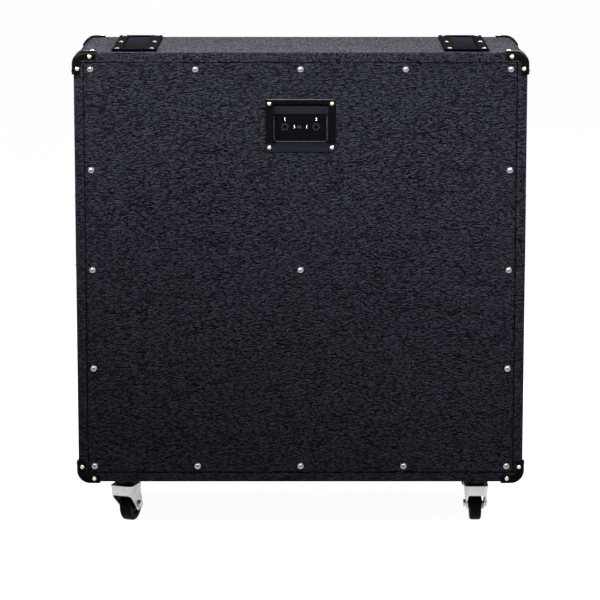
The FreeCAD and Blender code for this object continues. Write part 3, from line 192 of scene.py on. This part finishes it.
def grained_vinyl(name, crease, grain, detail, stops):
    """Black vinyl with wavy creases over a fine grain, both given per metre along X, Y, Z; its
    colour carries painted shade in the creases and a painted highlight on the raised grain.
    """
    graph = Graph(name, Specular_IOR_Level=0.005)
    drift = 1.1
    cells = graph.stretch(*crease)
    wander = graph.noise(cells, 0.9, 5.0, 0.6, output="Color")
    centred = graph.add("VectorMath", {0: wander, 1: (0.5, 0.5, 0.5)}, operation="SUBTRACT")
    pull = graph.add("VectorMath", {0: centred.outputs[0], "Scale": drift}, operation="SCALE")
    bent = graph.add("VectorMath", {0: cells, 1: pull.outputs[0]}, operation="ADD").outputs[0]
    # Random fading of the creases, which also fades their painted shade
    crease_fade = graph.span(graph.noise(cells, 0.4), 0.36, 0.64, 0.4, 0.9)
    creases = graph.math("MULTIPLY", graph.span(graph.edges(bent, 1.0), 0.0, 0.06, 1.0, 0.0), crease_fade)
    wrinkles = graph.span(graph.edges(bent, 2.4), 0.0, 0.2, 1.0, 0.0)
    dips = graph.weigh((creases, 0.24), (wrinkles, 0.3))
    speck = graph.noise(graph.stretch(*grain), 1.0, detail, 0.7)
    height = graph.math("SUBTRACT", graph.math("ADD", speck, 0.3), dips)
    shades = (0.00024, 0.00026, 0.00042), (0.0045, 0.0048, 0.0067), (0.0185, 0.0195, 0.026)
    # Painted light: the base colour follows the height, dark as painted shade in the creases and
    # pale as painted highlight on the raised grain
    graph.paint(height, *zip(stops, shades))
    graph.shade("Roughness", graph.span(height, 0.3, 0.9, 0.62, 0.44))
    graph.bump(height, 0.0014, 0.9)
    return graph.material


def moulding(name, dark, light, rough, grain, depth, **uniform):
    """A moulded, painted or plated surface with fine texture and uneven gloss."""
    graph = Graph(name, **uniform)
    cloud = graph.noise(graph.place, 22.0, 4.0)
    speck = graph.speckle(grain)
    tone = graph.weigh((cloud, 0.6), (speck, 0.4))
    graph.paint(tone, (0.3, dark), (0.7, light))
    graph.shade("Roughness", graph.span(tone, 0.3, 0.7, *rough))
    graph.bump(speck, depth, 0.6)
    return graph.material


def brushed(name, dark, light, rough):
    """Plated steel with fine drawn lines and a few dull patches."""
    graph = Graph(name, Metallic=1.0, Anisotropic=0.35)
    lines = graph.noise(graph.stretch(60.0, 60.0, 1400.0), 1.0, 3.0, 0.6)
    patch = graph.noise(graph.place, 60.0, 4.0)
    tone = graph.weigh((lines, 0.45), (patch, 0.55))
    graph.paint(tone, (0.3, dark), (0.65, light))
    graph.shade("Roughness", graph.span(tone, 0.3, 0.7, *rough))
    graph.bump(lines, 0.00004, 0.5)
    return graph.material


def tray_moulding():
    """Black moulding whose sunk middle is duller than its rim and carries a painted sheen, both
    more so to the front.
    """
    graph = Graph("tray_moulding", Specular_IOR_Level=0.0004)
    axes = graph.axes()
    rim, half_width, half_length = 1.5 * MM, TROUGH_WIDTH / 2, TROUGH_LENGTH / 2
    aside = graph.away(graph.math("ABSOLUTE", axes["X"]), TRAY_X)
    along = graph.away(axes["Y"], TRAY_Y)
    within_width = graph.span(aside, half_width, half_width + rim, 1.0, 0.0)
    within_length = graph.span(along, half_length, half_length + rim, 1.0, 0.0)
    middle = graph.math("MULTIPLY", within_width, within_length)
    # Painted sheen in the trough, growing paler towards the front
    painted_sheen_ramp = graph.span(axes["Y"], TRAY_Y - half_length, TRAY_Y + half_length, 0.4, 1.2)
    scuffs = graph.noise(graph.stretch(90.0, 16.0, 60.0), 1.0, 4.0, 0.6)
    speck = graph.speckle(900.0)
    # The trough's painted sheen: its sunk middle times the ramp towards the front
    trough = graph.math("MULTIPLY", middle, painted_sheen_ramp)
    tone = graph.weigh((scuffs, 0.5), (speck, 0.1), (trough, 0.45))
    graph.paint(
        tone, (0.2, (0.0003, 0.0003, 0.0004)), (0.45, (0.0008, 0.0008, 0.001)),
        (0.9, (0.0065, 0.006, 0.0095)))
    graph.shade("Roughness", graph.span(tone, 0.2, 0.8, 0.34, 0.6))
    graph.bump(speck, 0.00006, 0.6)
    return graph.material


def plate_moulding():
    """Black moulding with painted light: paler on the dish's two slopes, and a painted highlight
    along the plate's upper edge.
    """
    graph = Graph("plate_moulding", Specular_IOR_Level=0.03)
    axes = graph.axes()
    blur, edge_blur = 1 * MM, 0.6 * MM
    above, below = DISH_HEIGHT + DISH_TALL / 2, DISH_HEIGHT - DISH_TALL / 2
    # Painted light on the dish's upper slope, paler deeper into the dish
    sunk = graph.span(axes["Y"], REAR + blur, REAR + 3 * blur, 0.0, 0.45)
    upper = graph.math(
        "MULTIPLY", graph.span(axes["Z"], above - blur, above + blur, 0.0, 1.0), sunk)
    # Painted light on the dish's lower slope and the plate below it
    lower = graph.span(axes["Z"], below - blur, below + blur, 0.22, 0.0)
    # Painted highlight along the plate's upper edge
    edge = graph.span(axes["Z"], PLATE_EDGE - edge_blur, PLATE_EDGE + edge_blur, 0.0, 1.0)
    speck = graph.speckle(900.0)
    tone = graph.weigh((upper, 1.0), (lower, 1.0), (speck, 0.3), (edge, 0.6))
    graph.paint(
        tone, (0.05, (0.0003, 0.00035, 0.0006)), (0.25, (0.0009, 0.001, 0.0016)),
        (0.5, (0.007, 0.0078, 0.0125)), (0.8, (0.03, 0.031, 0.036)))
    graph.shade("Roughness", graph.span(speck, 0.3, 0.7, 0.26, 0.4))
    graph.bump(speck, 0.00005, 0.6)
    return graph.material


def plywood(name, dark, middle, light):
    """Plywood with a long figure and fine pores, bare or stained."""
    graph = Graph(name, Roughness=0.7)
    figure = graph.noise(graph.stretch(6.0, 55.0, 55.0), 1.0, 5.0, 0.6)
    pores = graph.noise(graph.stretch(60.0, 900.0, 900.0), 1.0, 2.0)
    tone = graph.weigh((figure, 0.75), (pores, 0.25))
    graph.paint(tone, (0.25, dark), (0.5, middle), (0.75, light))
    graph.bump(pores, 0.0002, 0.5)
    return graph.material


def woven_cloth():
    """Black grille cloth: over and under threads, with paler flecks."""
    graph = Graph("woven_cloth", Roughness=0.85, Specular_IOR_Level=0.08, Sheen_Weight=0.02)
    axes = graph.axes()
    weave = 2 * math.pi / (2.6 * MM)
    crossing = graph.math("MULTIPLY", graph.wave(axes["X"], weave), graph.wave(axes["Z"], weave))
    ribs_across = graph.math("ABSOLUTE", graph.wave(axes["X"], weave / 2))
    ribs_along = graph.math("ABSOLUTE", graph.wave(axes["Z"], weave / 2))
    over = graph.span(crossing, -0.3, 0.3, 0.0, 1.0)
    warp = graph.math("MULTIPLY", ribs_across, over)
    weft = graph.math("MULTIPLY", ribs_along, graph.math("SUBTRACT", 1.0, over))
    threads = graph.math("ADD", warp, weft)
    fleck = graph.noise(graph.place, 420.0, 2.0, 0.7)
    broad = graph.noise(graph.place, 9.0)
    tone = graph.weigh((threads, 0.45), (fleck, 0.4), (broad, 0.15))
    graph.paint(
        tone, (0.25, (0.0012, 0.0012, 0.0014)), (0.55, (0.005, 0.005, 0.0054)),
        (0.9, (0.034, 0.034, 0.035)))
    graph.bump(threads, 0.0006, 0.8)
    return graph.material


def pressed_paper():
    """Grey cone paper with short fibres."""
    graph = Graph("pressed_paper", Roughness=0.8)
    fibre = graph.noise(graph.stretch(300.0, 300.0, 300.0), 1.0, 5.0, 0.7)
    graph.paint(fibre, (0.3, (0.02, 0.018, 0.016)), (0.7, (0.075, 0.068, 0.06)))
    graph.bump(fibre, 0.0002, 0.5)
    return graph.material


finishes = {
    "covered_board": grained_vinyl(
        "grained_vinyl", crease=(30.0, 80.0, 190.0), grain=(330.0, 400.0, 700.0),
        detail=2.0, stops=(0.35, 0.645, 0.89)),
    "bare_wood": plywood(
        "bare_plywood", (0.26, 0.155, 0.075), (0.47, 0.32, 0.18), (0.61, 0.45, 0.28)),
    "stained_wood": plywood(
        "stained_plywood", (0.002, 0.002, 0.002), (0.005, 0.0048, 0.0045), (0.009, 0.0085, 0.008)),
    "grille_cloth": woven_cloth(),
    "nickel_screw": brushed(
        "bright_nickel", (0.5, 0.5, 0.49), (0.8, 0.795, 0.78), rough=(0.2, 0.34)),
    "brass_screw": brushed(
        "pale_brass", (0.46, 0.38, 0.22), (0.76, 0.67, 0.45), rough=(0.22, 0.36)),
    "zinc_screw": brushed(
        "dull_zinc", (0.36, 0.36, 0.37), (0.58, 0.58, 0.59), rough=(0.3, 0.5)),
    "black_moulding": moulding(
        "black_moulding", (0.0004, 0.0004, 0.0005), (0.0014, 0.0014, 0.0017),
        rough=(0.24, 0.38), grain=900.0, depth=0.00006, Specular_IOR_Level=0.02),
    "basket": moulding(
        "basket_paint", (0.02, 0.02, 0.022), (0.04, 0.04, 0.044),
        rough=(0.3, 0.5), grain=700.0, depth=0.0001),
    "magnet": moulding(
        "ferrite", (0.03, 0.03, 0.031), (0.085, 0.085, 0.088),
        rough=(0.4, 0.65), grain=500.0, depth=0.0002, Metallic=0.4),
    "cone_paper": pressed_paper(),
    "lead": moulding(
        "lead_rubber", (0.012, 0.012, 0.012), (0.03, 0.03, 0.03),
        rough=(0.5, 0.7), grain=900.0, depth=0.0001),
    "jack": moulding(
        "jack_plastic", (0.001, 0.001, 0.0012), (0.004, 0.004, 0.0045),
        rough=(0.2, 0.36), grain=900.0, depth=0.00006, Specular_IOR_Level=0.25),
    "switch": moulding(
        "switch_plastic", (0.004, 0.004, 0.0045), (0.01, 0.01, 0.011),
        rough=(0.4, 0.55), grain=900.0, depth=0.00008, Specular_IOR_Level=0.2),
    "castor_socket": moulding(
        "socket_paint", (0.001, 0.001, 0.0012), (0.0035, 0.0035, 0.004),
        rough=(0.3, 0.5), grain=600.0, depth=0.0001, Specular_IOR_Level=0.1),
    "castor_fork": brushed(
        "bright_zinc", (0.3, 0.3, 0.31), (0.58, 0.58, 0.59), rough=(0.2, 0.36)),
    "castor_wheel": moulding(
        "wheel_rubber", (0.0004, 0.0004, 0.0005), (0.0015, 0.0015, 0.0018),
        rough=(0.4, 0.6), grain=500.0, depth=0.0002, Specular_IOR_Level=0.03),
}
# A darker copy of the nickel for the screw heads: painted shade
nickel_painted_shade = brushed(
    "nickel_painted_shade", (0.12, 0.12, 0.115), (0.3, 0.295, 0.285), rough=(0.3, 0.46))
# Grey for the painted highlights along the dish floor's edges
edge_highlight_paint = moulding(
    "grey_edge_highlight", (0.02, 0.02, 0.022), (0.04, 0.04, 0.044),
    rough=(0.4, 0.55), grain=900.0, depth=0.00005)
marking = moulding(
    "white_print", (0.62, 0.62, 0.6), (0.78, 0.78, 0.76),
    rough=(0.5, 0.65), grain=900.0, depth=0.00005)
piping_finish = moulding(
    "piping_vinyl", (0.36, 0.35, 0.32), (0.52, 0.51, 0.47),
    rough=(0.4, 0.6), grain=500.0, depth=0.0002)

# Nodes whose look differs from the rest of their slot
tray_finish = tray_moulding()
own_finishes = {
    # The top's vinyl has its own grain, and paler, more contrasty stops as painted sheen from light
    # falling across the top
    "top_board": grained_vinyl(
        "top_vinyl_painted_sheen", crease=(60.0, 36.0, 190.0), grain=(340.0, 130.0, 700.0),
        detail=1.0, stops=(0.42, 0.63, 0.8)),
    "jack_plate": plate_moulding(),
    "left_foot_tray": tray_finish,
    "right_foot_tray": tray_finish,
}

for row in frame["record"]["subparts"]:
    mesh = nodes[row["node"]].data
    mesh.materials.clear()
    mesh.materials.append(own_finishes.get(row["node"], finishes[row["material_slot"]]))


# Pieces


def add_piece(name, mesh, finish, body="cabinet"):
    mesh.materials.clear()
    mesh.materials.append(finish)
    piece = new_object(name, mesh)
    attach(piece, body)
    return piece


def solid_mesh(name, points, faces):
    mesh = bpy.data.meshes.new(name)
    mesh.from_pydata(points, [], faces)
    mesh.update()
    return mesh


def prism_faces(count):
    """The faces of a prism whose two ends have this many points each."""
    faces = [tuple(range(count)), tuple(reversed(range(count, 2 * count)))]
    for index in range(count):
        following = (index + 1) % count
        faces.append((following, index, count + index, count + following))
    return faces


def smooth(mesh, sharp=None):
    """Shade a mesh smooth, apart from edges over an angle in degrees."""
    mesh.polygons.foreach_set("use_smooth", [True] * len(mesh.polygons))
    if sharp:
        mesh.set_sharp_from_angle(angle=math.radians(sharp))


def final_mesh(holder):
    """The finished mesh of an object with modifiers or of a text, which is then removed."""
    graph = bpy.context.evaluated_depsgraph_get()
    mesh = bpy.data.meshes.new_from_object(holder.evaluated_get(graph))
    bpy.data.objects.remove(holder)
    return mesh


def lathe(name, profile, segments):
    """A closed mesh turned about Z, from points of radius and height, the ends on the axis."""
    points = [(0, 0, profile[0][1])]
    for radius, height in profile[1:-1]:
        for index in range(segments):
            turn = 2 * math.pi * index / segments
            points.append((radius * math.cos(turn), radius * math.sin(turn), height))
    points.append((0, 0, profile[-1][1]))
    rings = len(profile) - 2
    faces = []
    for index in range(segments):
        following = (index + 1) % segments
        faces.append((0, 1 + index, 1 + following))
        for ring in range(rings - 1):
            low, high = 1 + ring * segments, 1 + (ring + 1) * segments
            faces.append((low + index, high + index, high + following, low + following))
        last = 1 + (rings - 1) * segments
        faces.append((last + index, len(points) - 1, last + following))
    return solid_mesh(name, points, faces)


def cross_cutter(arm, half, depth):
    """A plus-shaped plug that narrows downward."""
    corners = []
    for turn in range(4):
        quarter = Matrix.Rotation(turn * math.pi / 2, 2)
        for corner in ((half, half), (arm, half), (arm, -half)):
            corners.append(quarter @ Vector(corner))
    order = sorted(corners, key=lambda corner: math.atan2(corner.y, corner.x))
    narrow = 0.45
    points = [(corner.x, corner.y, depth) for corner in order]
    points += [(corner.x * narrow, corner.y * narrow, -depth) for corner in order]
    return solid_mesh("cross_cutter", points, prism_faces(len(order)))


def screw_mesh(name, head, rise, under, shank, length):
    """A screw whose domed head has a cross recess, with the head's crest at the origin."""
    sphere = (head ** 2 + rise ** 2) / (2 * rise)
    profile = []
    steps = 8
    for step in range(steps + 1):
        radius = head * step / steps
        profile.append((radius, math.sqrt(sphere ** 2 - radius ** 2) - sphere))
    profile += [(shank, -rise - under), (shank, 2 * shank - length), (0, -length)]
    body = new_object(name, lathe(name, profile, segments=40))
    cutter = cross_cutter(arm=0.6 * head, half=0.13 * head, depth=0.75 * rise)
    plug = new_object("plug", cutter)
    hollow = body.modifiers.new("recess", "BOOLEAN")
    hollow.object = plug
    hollow.operation = "DIFFERENCE"
    hollow.solver = "EXACT"
    made = final_mesh(body)
    bpy.data.objects.remove(plug)
    smooth(made, sharp=40)
    return made


def islands(mesh):
    """The separate solids of a node, each as a list of points."""
    owner = {}
    keys = [tuple(round(number, 6) for number in vertex.co) for vertex in mesh.vertices]

    def root(key):
        while owner.setdefault(key, key) != key:
            owner[key] = owner[owner[key]]
            key = owner[key]
        return key

    for polygon in mesh.polygons:
        first = root(keys[polygon.vertices[0]])
        for index in polygon.vertices[1:]:
            owner[root(keys[index])] = first
    groups = {}
    for key in sorted(set(keys)):
        groups.setdefault(root(key), []).append(Vector(key))
    return [groups[key] for key in sorted(groups)]


def screw_frame(points):
    """A screw's place: the crest of its head, with Z pointing out of it."""
    middle = sum(points, Vector()) / len(points)
    first = max(points, key=lambda point: (point - middle).length)
    last = max(points, key=lambda point: (point - first).length)
    first = max(points, key=lambda point: (point - last).length)
    line = (last - first).normalized()
    widest = max(points, key=lambda point: (point - first).cross(line).length)
    if (widest - first).dot(line) < (last - first).length / 2:
        first, last = last, first
    turn = (last - first).to_track_quat("Z", "Y").to_matrix().to_4x4()
    return Matrix.Translation(last) @ turn


spin = random.Random(11)


def screw_set(node, master, finish):
    """Detailed screws in place of all the plain ones of a node."""
    made = bmesh.new()
    for points in islands(nodes[node].data):
        start = len(made.verts)
        made.from_mesh(master)
        made.verts.ensure_lookup_table()
        turned = screw_frame(points) @ Matrix.Rotation(spin.uniform(0, math.pi / 2), 4, "Z")
        bmesh.ops.transform(made, matrix=turned, verts=made.verts[start:])
    mesh = bpy.data.meshes.new(node + "_set")
    made.to_mesh(mesh)
    made.free()
    piece = add_piece(node + "_set", mesh, finish)
    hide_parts(node)


panel_screw = screw_mesh(
    "panel_screw", head=3.9 * MM, rise=1.5 * MM, under=1.8 * MM, shank=2.1 * MM, length=33.9 * MM)
small_screw = screw_mesh(
    "small_screw", head=3.4 * MM, rise=1.6 * MM, under=0.0, shank=1.5 * MM, length=15.6 * MM)
# Panel and tray screw heads in the darker nickel, painted shade
screw_set("panel_screws", panel_screw, nickel_painted_shade)
screw_set("tray_screws", small_screw, nickel_painted_shade)
for holder in ("corner", "jack_plate", "handle"):
    screw_set(holder + "_screws", small_screw, finishes["brass_screw"])
screw_set("castor_socket_screws", small_screw, finishes["zinc_screw"])

# Grille cloth, stretched over each baffle with its edges drawn back


def grille_cloth(row, hinge, lean):
    """A stretched sheet in place of the plain one, leaning about a line across the front."""
    node = row + "_grille_cloth"
    settle = Matrix.Translation(hinge) @ Matrix.Rotation(lean, 4, "X")
    flat = [settle.inverted() @ vertex.co for vertex in nodes[node].data.vertices]
    low = Vector(min(point[axis] for point in flat) for axis in range(3))
    high = Vector(max(point[axis] for point in flat) for axis in range(3))
    columns, lines = 91, 44
    soft, drop = 9 * MM, 1.0 * MM
    points, faces = [], []
    for line in range(lines + 1):
        for column in range(columns + 1):
            x = low.x + (high.x - low.x) * column / columns
            z = low.z + (high.z - low.z) * line / lines
            near = min(x - low.x, high.x - x, z - low.z, high.z - z)
            inside = min(near / soft, 1.0)
            sink = drop * (1 - math.sqrt(1 - (1 - inside) ** 2)) if inside < 1 else 0.0
            points.append(settle @ Vector((x, high.y - sink, z)))
    for line in range(lines):
        for column in range(columns):
            corner = line * (columns + 1) + column
            faces.append((corner, corner + columns + 1, corner + columns + 2, corner + 1))
    mesh = solid_mesh(row + "_cloth", points, faces)
    smooth(mesh)
    cloth = add_piece(row + "_cloth", mesh, finishes["grille_cloth"])
    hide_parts(node)


grille_cloth("lower", Vector((0, FRONT, BOTTOM)), 0.0)
grille_cloth("upper", Vector((0, FRONT, KNEE)), LEAN)

# Piping, a bead along the edges of the cloth


def piping(radius):
    """A closed bead whose runs meet in mitres, over the knee as well."""
    clear, lift = 0.3 * MM, 0.85 * radius
    depth = CLOTH_DEPTH - lift
    fold = KNEE - depth * math.tan(LEAN / 2)
    right = INSIDE - radius - clear
    foot = BOTTOM + BOARD + radius + clear
    head = TOP - BOARD - radius - clear
    forward, tilted = Vector((0, 1, 0)), Vector((0, math.cos(LEAN), math.sin(LEAN)))
    upward, leftward = Vector((0, -math.sin(LEAN), math.cos(LEAN))), Vector((-1, 0, 0))
    front, back = FRONT - depth, FRONT - depth - (head - fold) * math.tan(LEAN)
    # Each run's start, the way its cloth faces and the way inward over the cloth
    runs = [
        (Vector((-right, front, foot)), forward, Vector((0, 0, 1))),
        (Vector((right, front, foot)), forward, leftward),
        (Vector((right, front, fold)), tilted, leftward),
        (Vector((right, back, head)), tilted, -upward),
        (Vector((-right, back, head)), tilted, -leftward),
        (Vector((-right, front, fold)), forward, -leftward),
    ]
    count, ring = len(runs), 20
    points, faces = [], []
    for index, (corner, normal, inward) in enumerate(runs):
        normal_before, inward_before = runs[index - 1][1:]
        out = (normal + normal_before) / (1 + normal.dot(normal_before))
        across = (inward + inward_before) / (1 + inward.dot(inward_before))
        for step in range(ring):
            turn = 2 * math.pi * step / ring
            points.append(corner + radius * (math.cos(turn) * out + math.sin(turn) * across))
    for index in range(count):
        low, high = index * ring, (index + 1) % count * ring
        for step in range(ring):
            following = (step + 1) % ring
            faces.append((low + step, high + step, high + following, low + following))
    mesh = solid_mesh("piping", points, faces)
    smooth(mesh, sharp=40)
    add_piece("piping", mesh, piping_finish)


piping(2.4 * MM)

# Marks in the jack plate's dish, in millimetres to the right and up from the plate's centre:
# a number by each jack, a tick at each end of the switch and thin grey lines round the floor,
# painted highlights along its edges
JACK_X = 26.5
JACK_DROP = 4.5
NUMBER_LIFT = 6.0
TICK_X = 10.5
SIDE_EDGE_X = 44.6
SIDE_EDGE_Z = -7
LOWER_EDGE_Z = -29.4
EDGE_WIDE = 0.7


def mark(name, outline, finish):
    """A thin raised mark on the dish floor."""
    front, back = DISH_FLOOR - 0.2 * MM, DISH_FLOOR + 0.05 * MM
    points = [
        (x * MM, depth, PLATE_HEIGHT + z * MM) for depth in (front, back) for x, z in outline
    ]
    add_piece(name, solid_mesh(name, points, prism_faces(len(outline))), finish)


def bar(x, z, wide, tall):
    """The outline of a bar about its middle."""
    left, right = x - wide / 2, x + wide / 2
    low, high = z - tall / 2, z + tall / 2
    return [(left, low), (right, low), (right, high), (left, high)]


def numeral(name, digit, x, z, size):
    """A plain printed number on the dish floor, standing out by a hair."""
    half_thick, rise = 0.1 * MM, 0.08 * MM
    letter = bpy.data.curves.new(name, "FONT")
    letter.body = digit
    letter.size = size
    letter.extrude = half_thick
    letter.align_x = "CENTER"
    mesh = final_mesh(new_object(name, letter))
    upright = Matrix.Rotation(math.pi / 2, 4, "X")
    spot = (x * MM, DISH_FLOOR - rise, PLATE_HEIGHT + z * MM)
    mesh.transform(Matrix.Translation(spot) @ upright)
    add_piece(name, mesh, marking)


for side, sign, digit in (("left", -1, "1"), ("right", 1, "2")):
    tick = bar(sign * TICK_X, -JACK_DROP, wide=0.9, tall=6)
    side_edge = bar(sign * SIDE_EDGE_X, SIDE_EDGE_Z, wide=EDGE_WIDE, tall=42)
    mark(f"{side}_switch_tick", tick, marking)
    # A painted highlight along the dish floor's side edge
    mark(f"{side}_dish_edge", side_edge, edge_highlight_paint)
    numeral(f"{side}_jack_number", digit, sign * JACK_X, NUMBER_LIFT, size=7 * MM)
# A painted highlight along the dish floor's lower edge
mark("lower_dish_edge", bar(0, LOWER_EDGE_Z, wide=84, tall=EDGE_WIDE), edge_highlight_paint)

# Floor, light and camera

floor_graph = Graph("pale_floor", Roughness=0.9, Specular_IOR_Level=0.0, Emission_Strength=0.965)
floor_cloud = floor_graph.noise(floor_graph.place, 0.7, 2.0)
floor_graph.paint(floor_cloud, (0.3, (0.15, 0.15, 0.15)), (0.7, (0.17, 0.17, 0.17)))
floor_graph.shade("Emission Color", (1.0, 1.0, 1.0, 1.0))
FLOOR_REACH = 60.0
floor_mesh = solid_mesh("floor", [
    (-FLOOR_REACH, -FLOOR_REACH, 0), (FLOOR_REACH, -FLOOR_REACH, 0),
    (FLOOR_REACH, FLOOR_REACH, 0), (-FLOOR_REACH, FLOOR_REACH, 0),
], [(0, 1, 2, 3)])
floor_mesh.materials.append(floor_graph.material)
floor = new_object("floor", floor_mesh)


def area_light(name, spot, target, wide, tall, power, spread=180):
    """A soft rectangular lamp aimed at a point, with its beam's spread in degrees."""
    lamp = bpy.data.lights.new(name, "AREA")
    lamp.shape = "RECTANGLE"
    lamp.size = wide
    lamp.size_y = tall
    lamp.energy = power
    lamp.spread = math.radians(spread)
    holder = new_object(name, lamp)
    holder.location = spot
    aim = Vector(target) - Vector(spot)
    holder.rotation_euler = aim.to_track_quat("-Z", "Y").to_euler()


area_light(
    "rear_softbox", (-0.2, -1.05, 1.35), (0, REAR, 0.72), wide=1.8, tall=0.35, power=17, spread=60)
area_light("front_softbox", (0.3, 1.1, 1.7), (0, FRONT, 0.6), wide=1.8, tall=0.6, power=75)
area_light("left_softbox", (-1.3, 0.2, 1.6), (-0.38, 0, 0.6), wide=0.9, tall=0.6, power=45)
area_light("right_softbox", (1.3, -0.1, 1.6), (0.38, 0, 0.6), wide=0.9, tall=0.6, power=45)

# A white backdrop near the horizon that dims overhead
world = bpy.data.worlds.new("studio")
world.use_nodes = True
sky = world.node_tree
backdrop = sky.nodes["Background"]
backdrop.inputs["Color"].default_value = (1.0, 1.0, 1.0, 1.0)
direction = sky.nodes.new("ShaderNodeTexCoord")
height = sky.nodes.new("ShaderNodeSeparateXYZ")
dimming = sky.nodes.new("ShaderNodeMapRange")
sky.links.new(direction.outputs["Generated"], height.inputs["Vector"])
sky.links.new(height.outputs["Z"], dimming.inputs["Value"])
sky.links.new(dimming.outputs["Result"], backdrop.inputs["Strength"])
dimming.interpolation_type = "SMOOTHSTEP"
for socket, number in (("From Min", 0.07), ("From Max", 0.14), ("To Min", 1.0), ("To Max", 0.14)):
    dimming.inputs[socket].default_value = number
bpy.context.scene.world = world
bpy.context.scene.view_settings.view_transform = "Standard"

# The photograph's camera, further back and with less shift, so that other views stay framed
PHOTO_WIDTH = 600
FOCAL_PIXELS = 2946
SENSOR = 36.0
PITCH = math.radians(9.85)
camera = bpy.data.cameras.new("camera")
camera.sensor_width = SENSOR
camera.lens = FOCAL_PIXELS * SENSOR / PHOTO_WIDTH
camera.shift_y = -0.08
camera.clip_end = 200
viewer = new_object("camera", camera)
viewer.location = (-0.0009, -5.099, 1.343)
viewer.rotation_euler = (math.pi / 2 - PITCH, 0, 0)
bpy.context.scene.camera = viewer
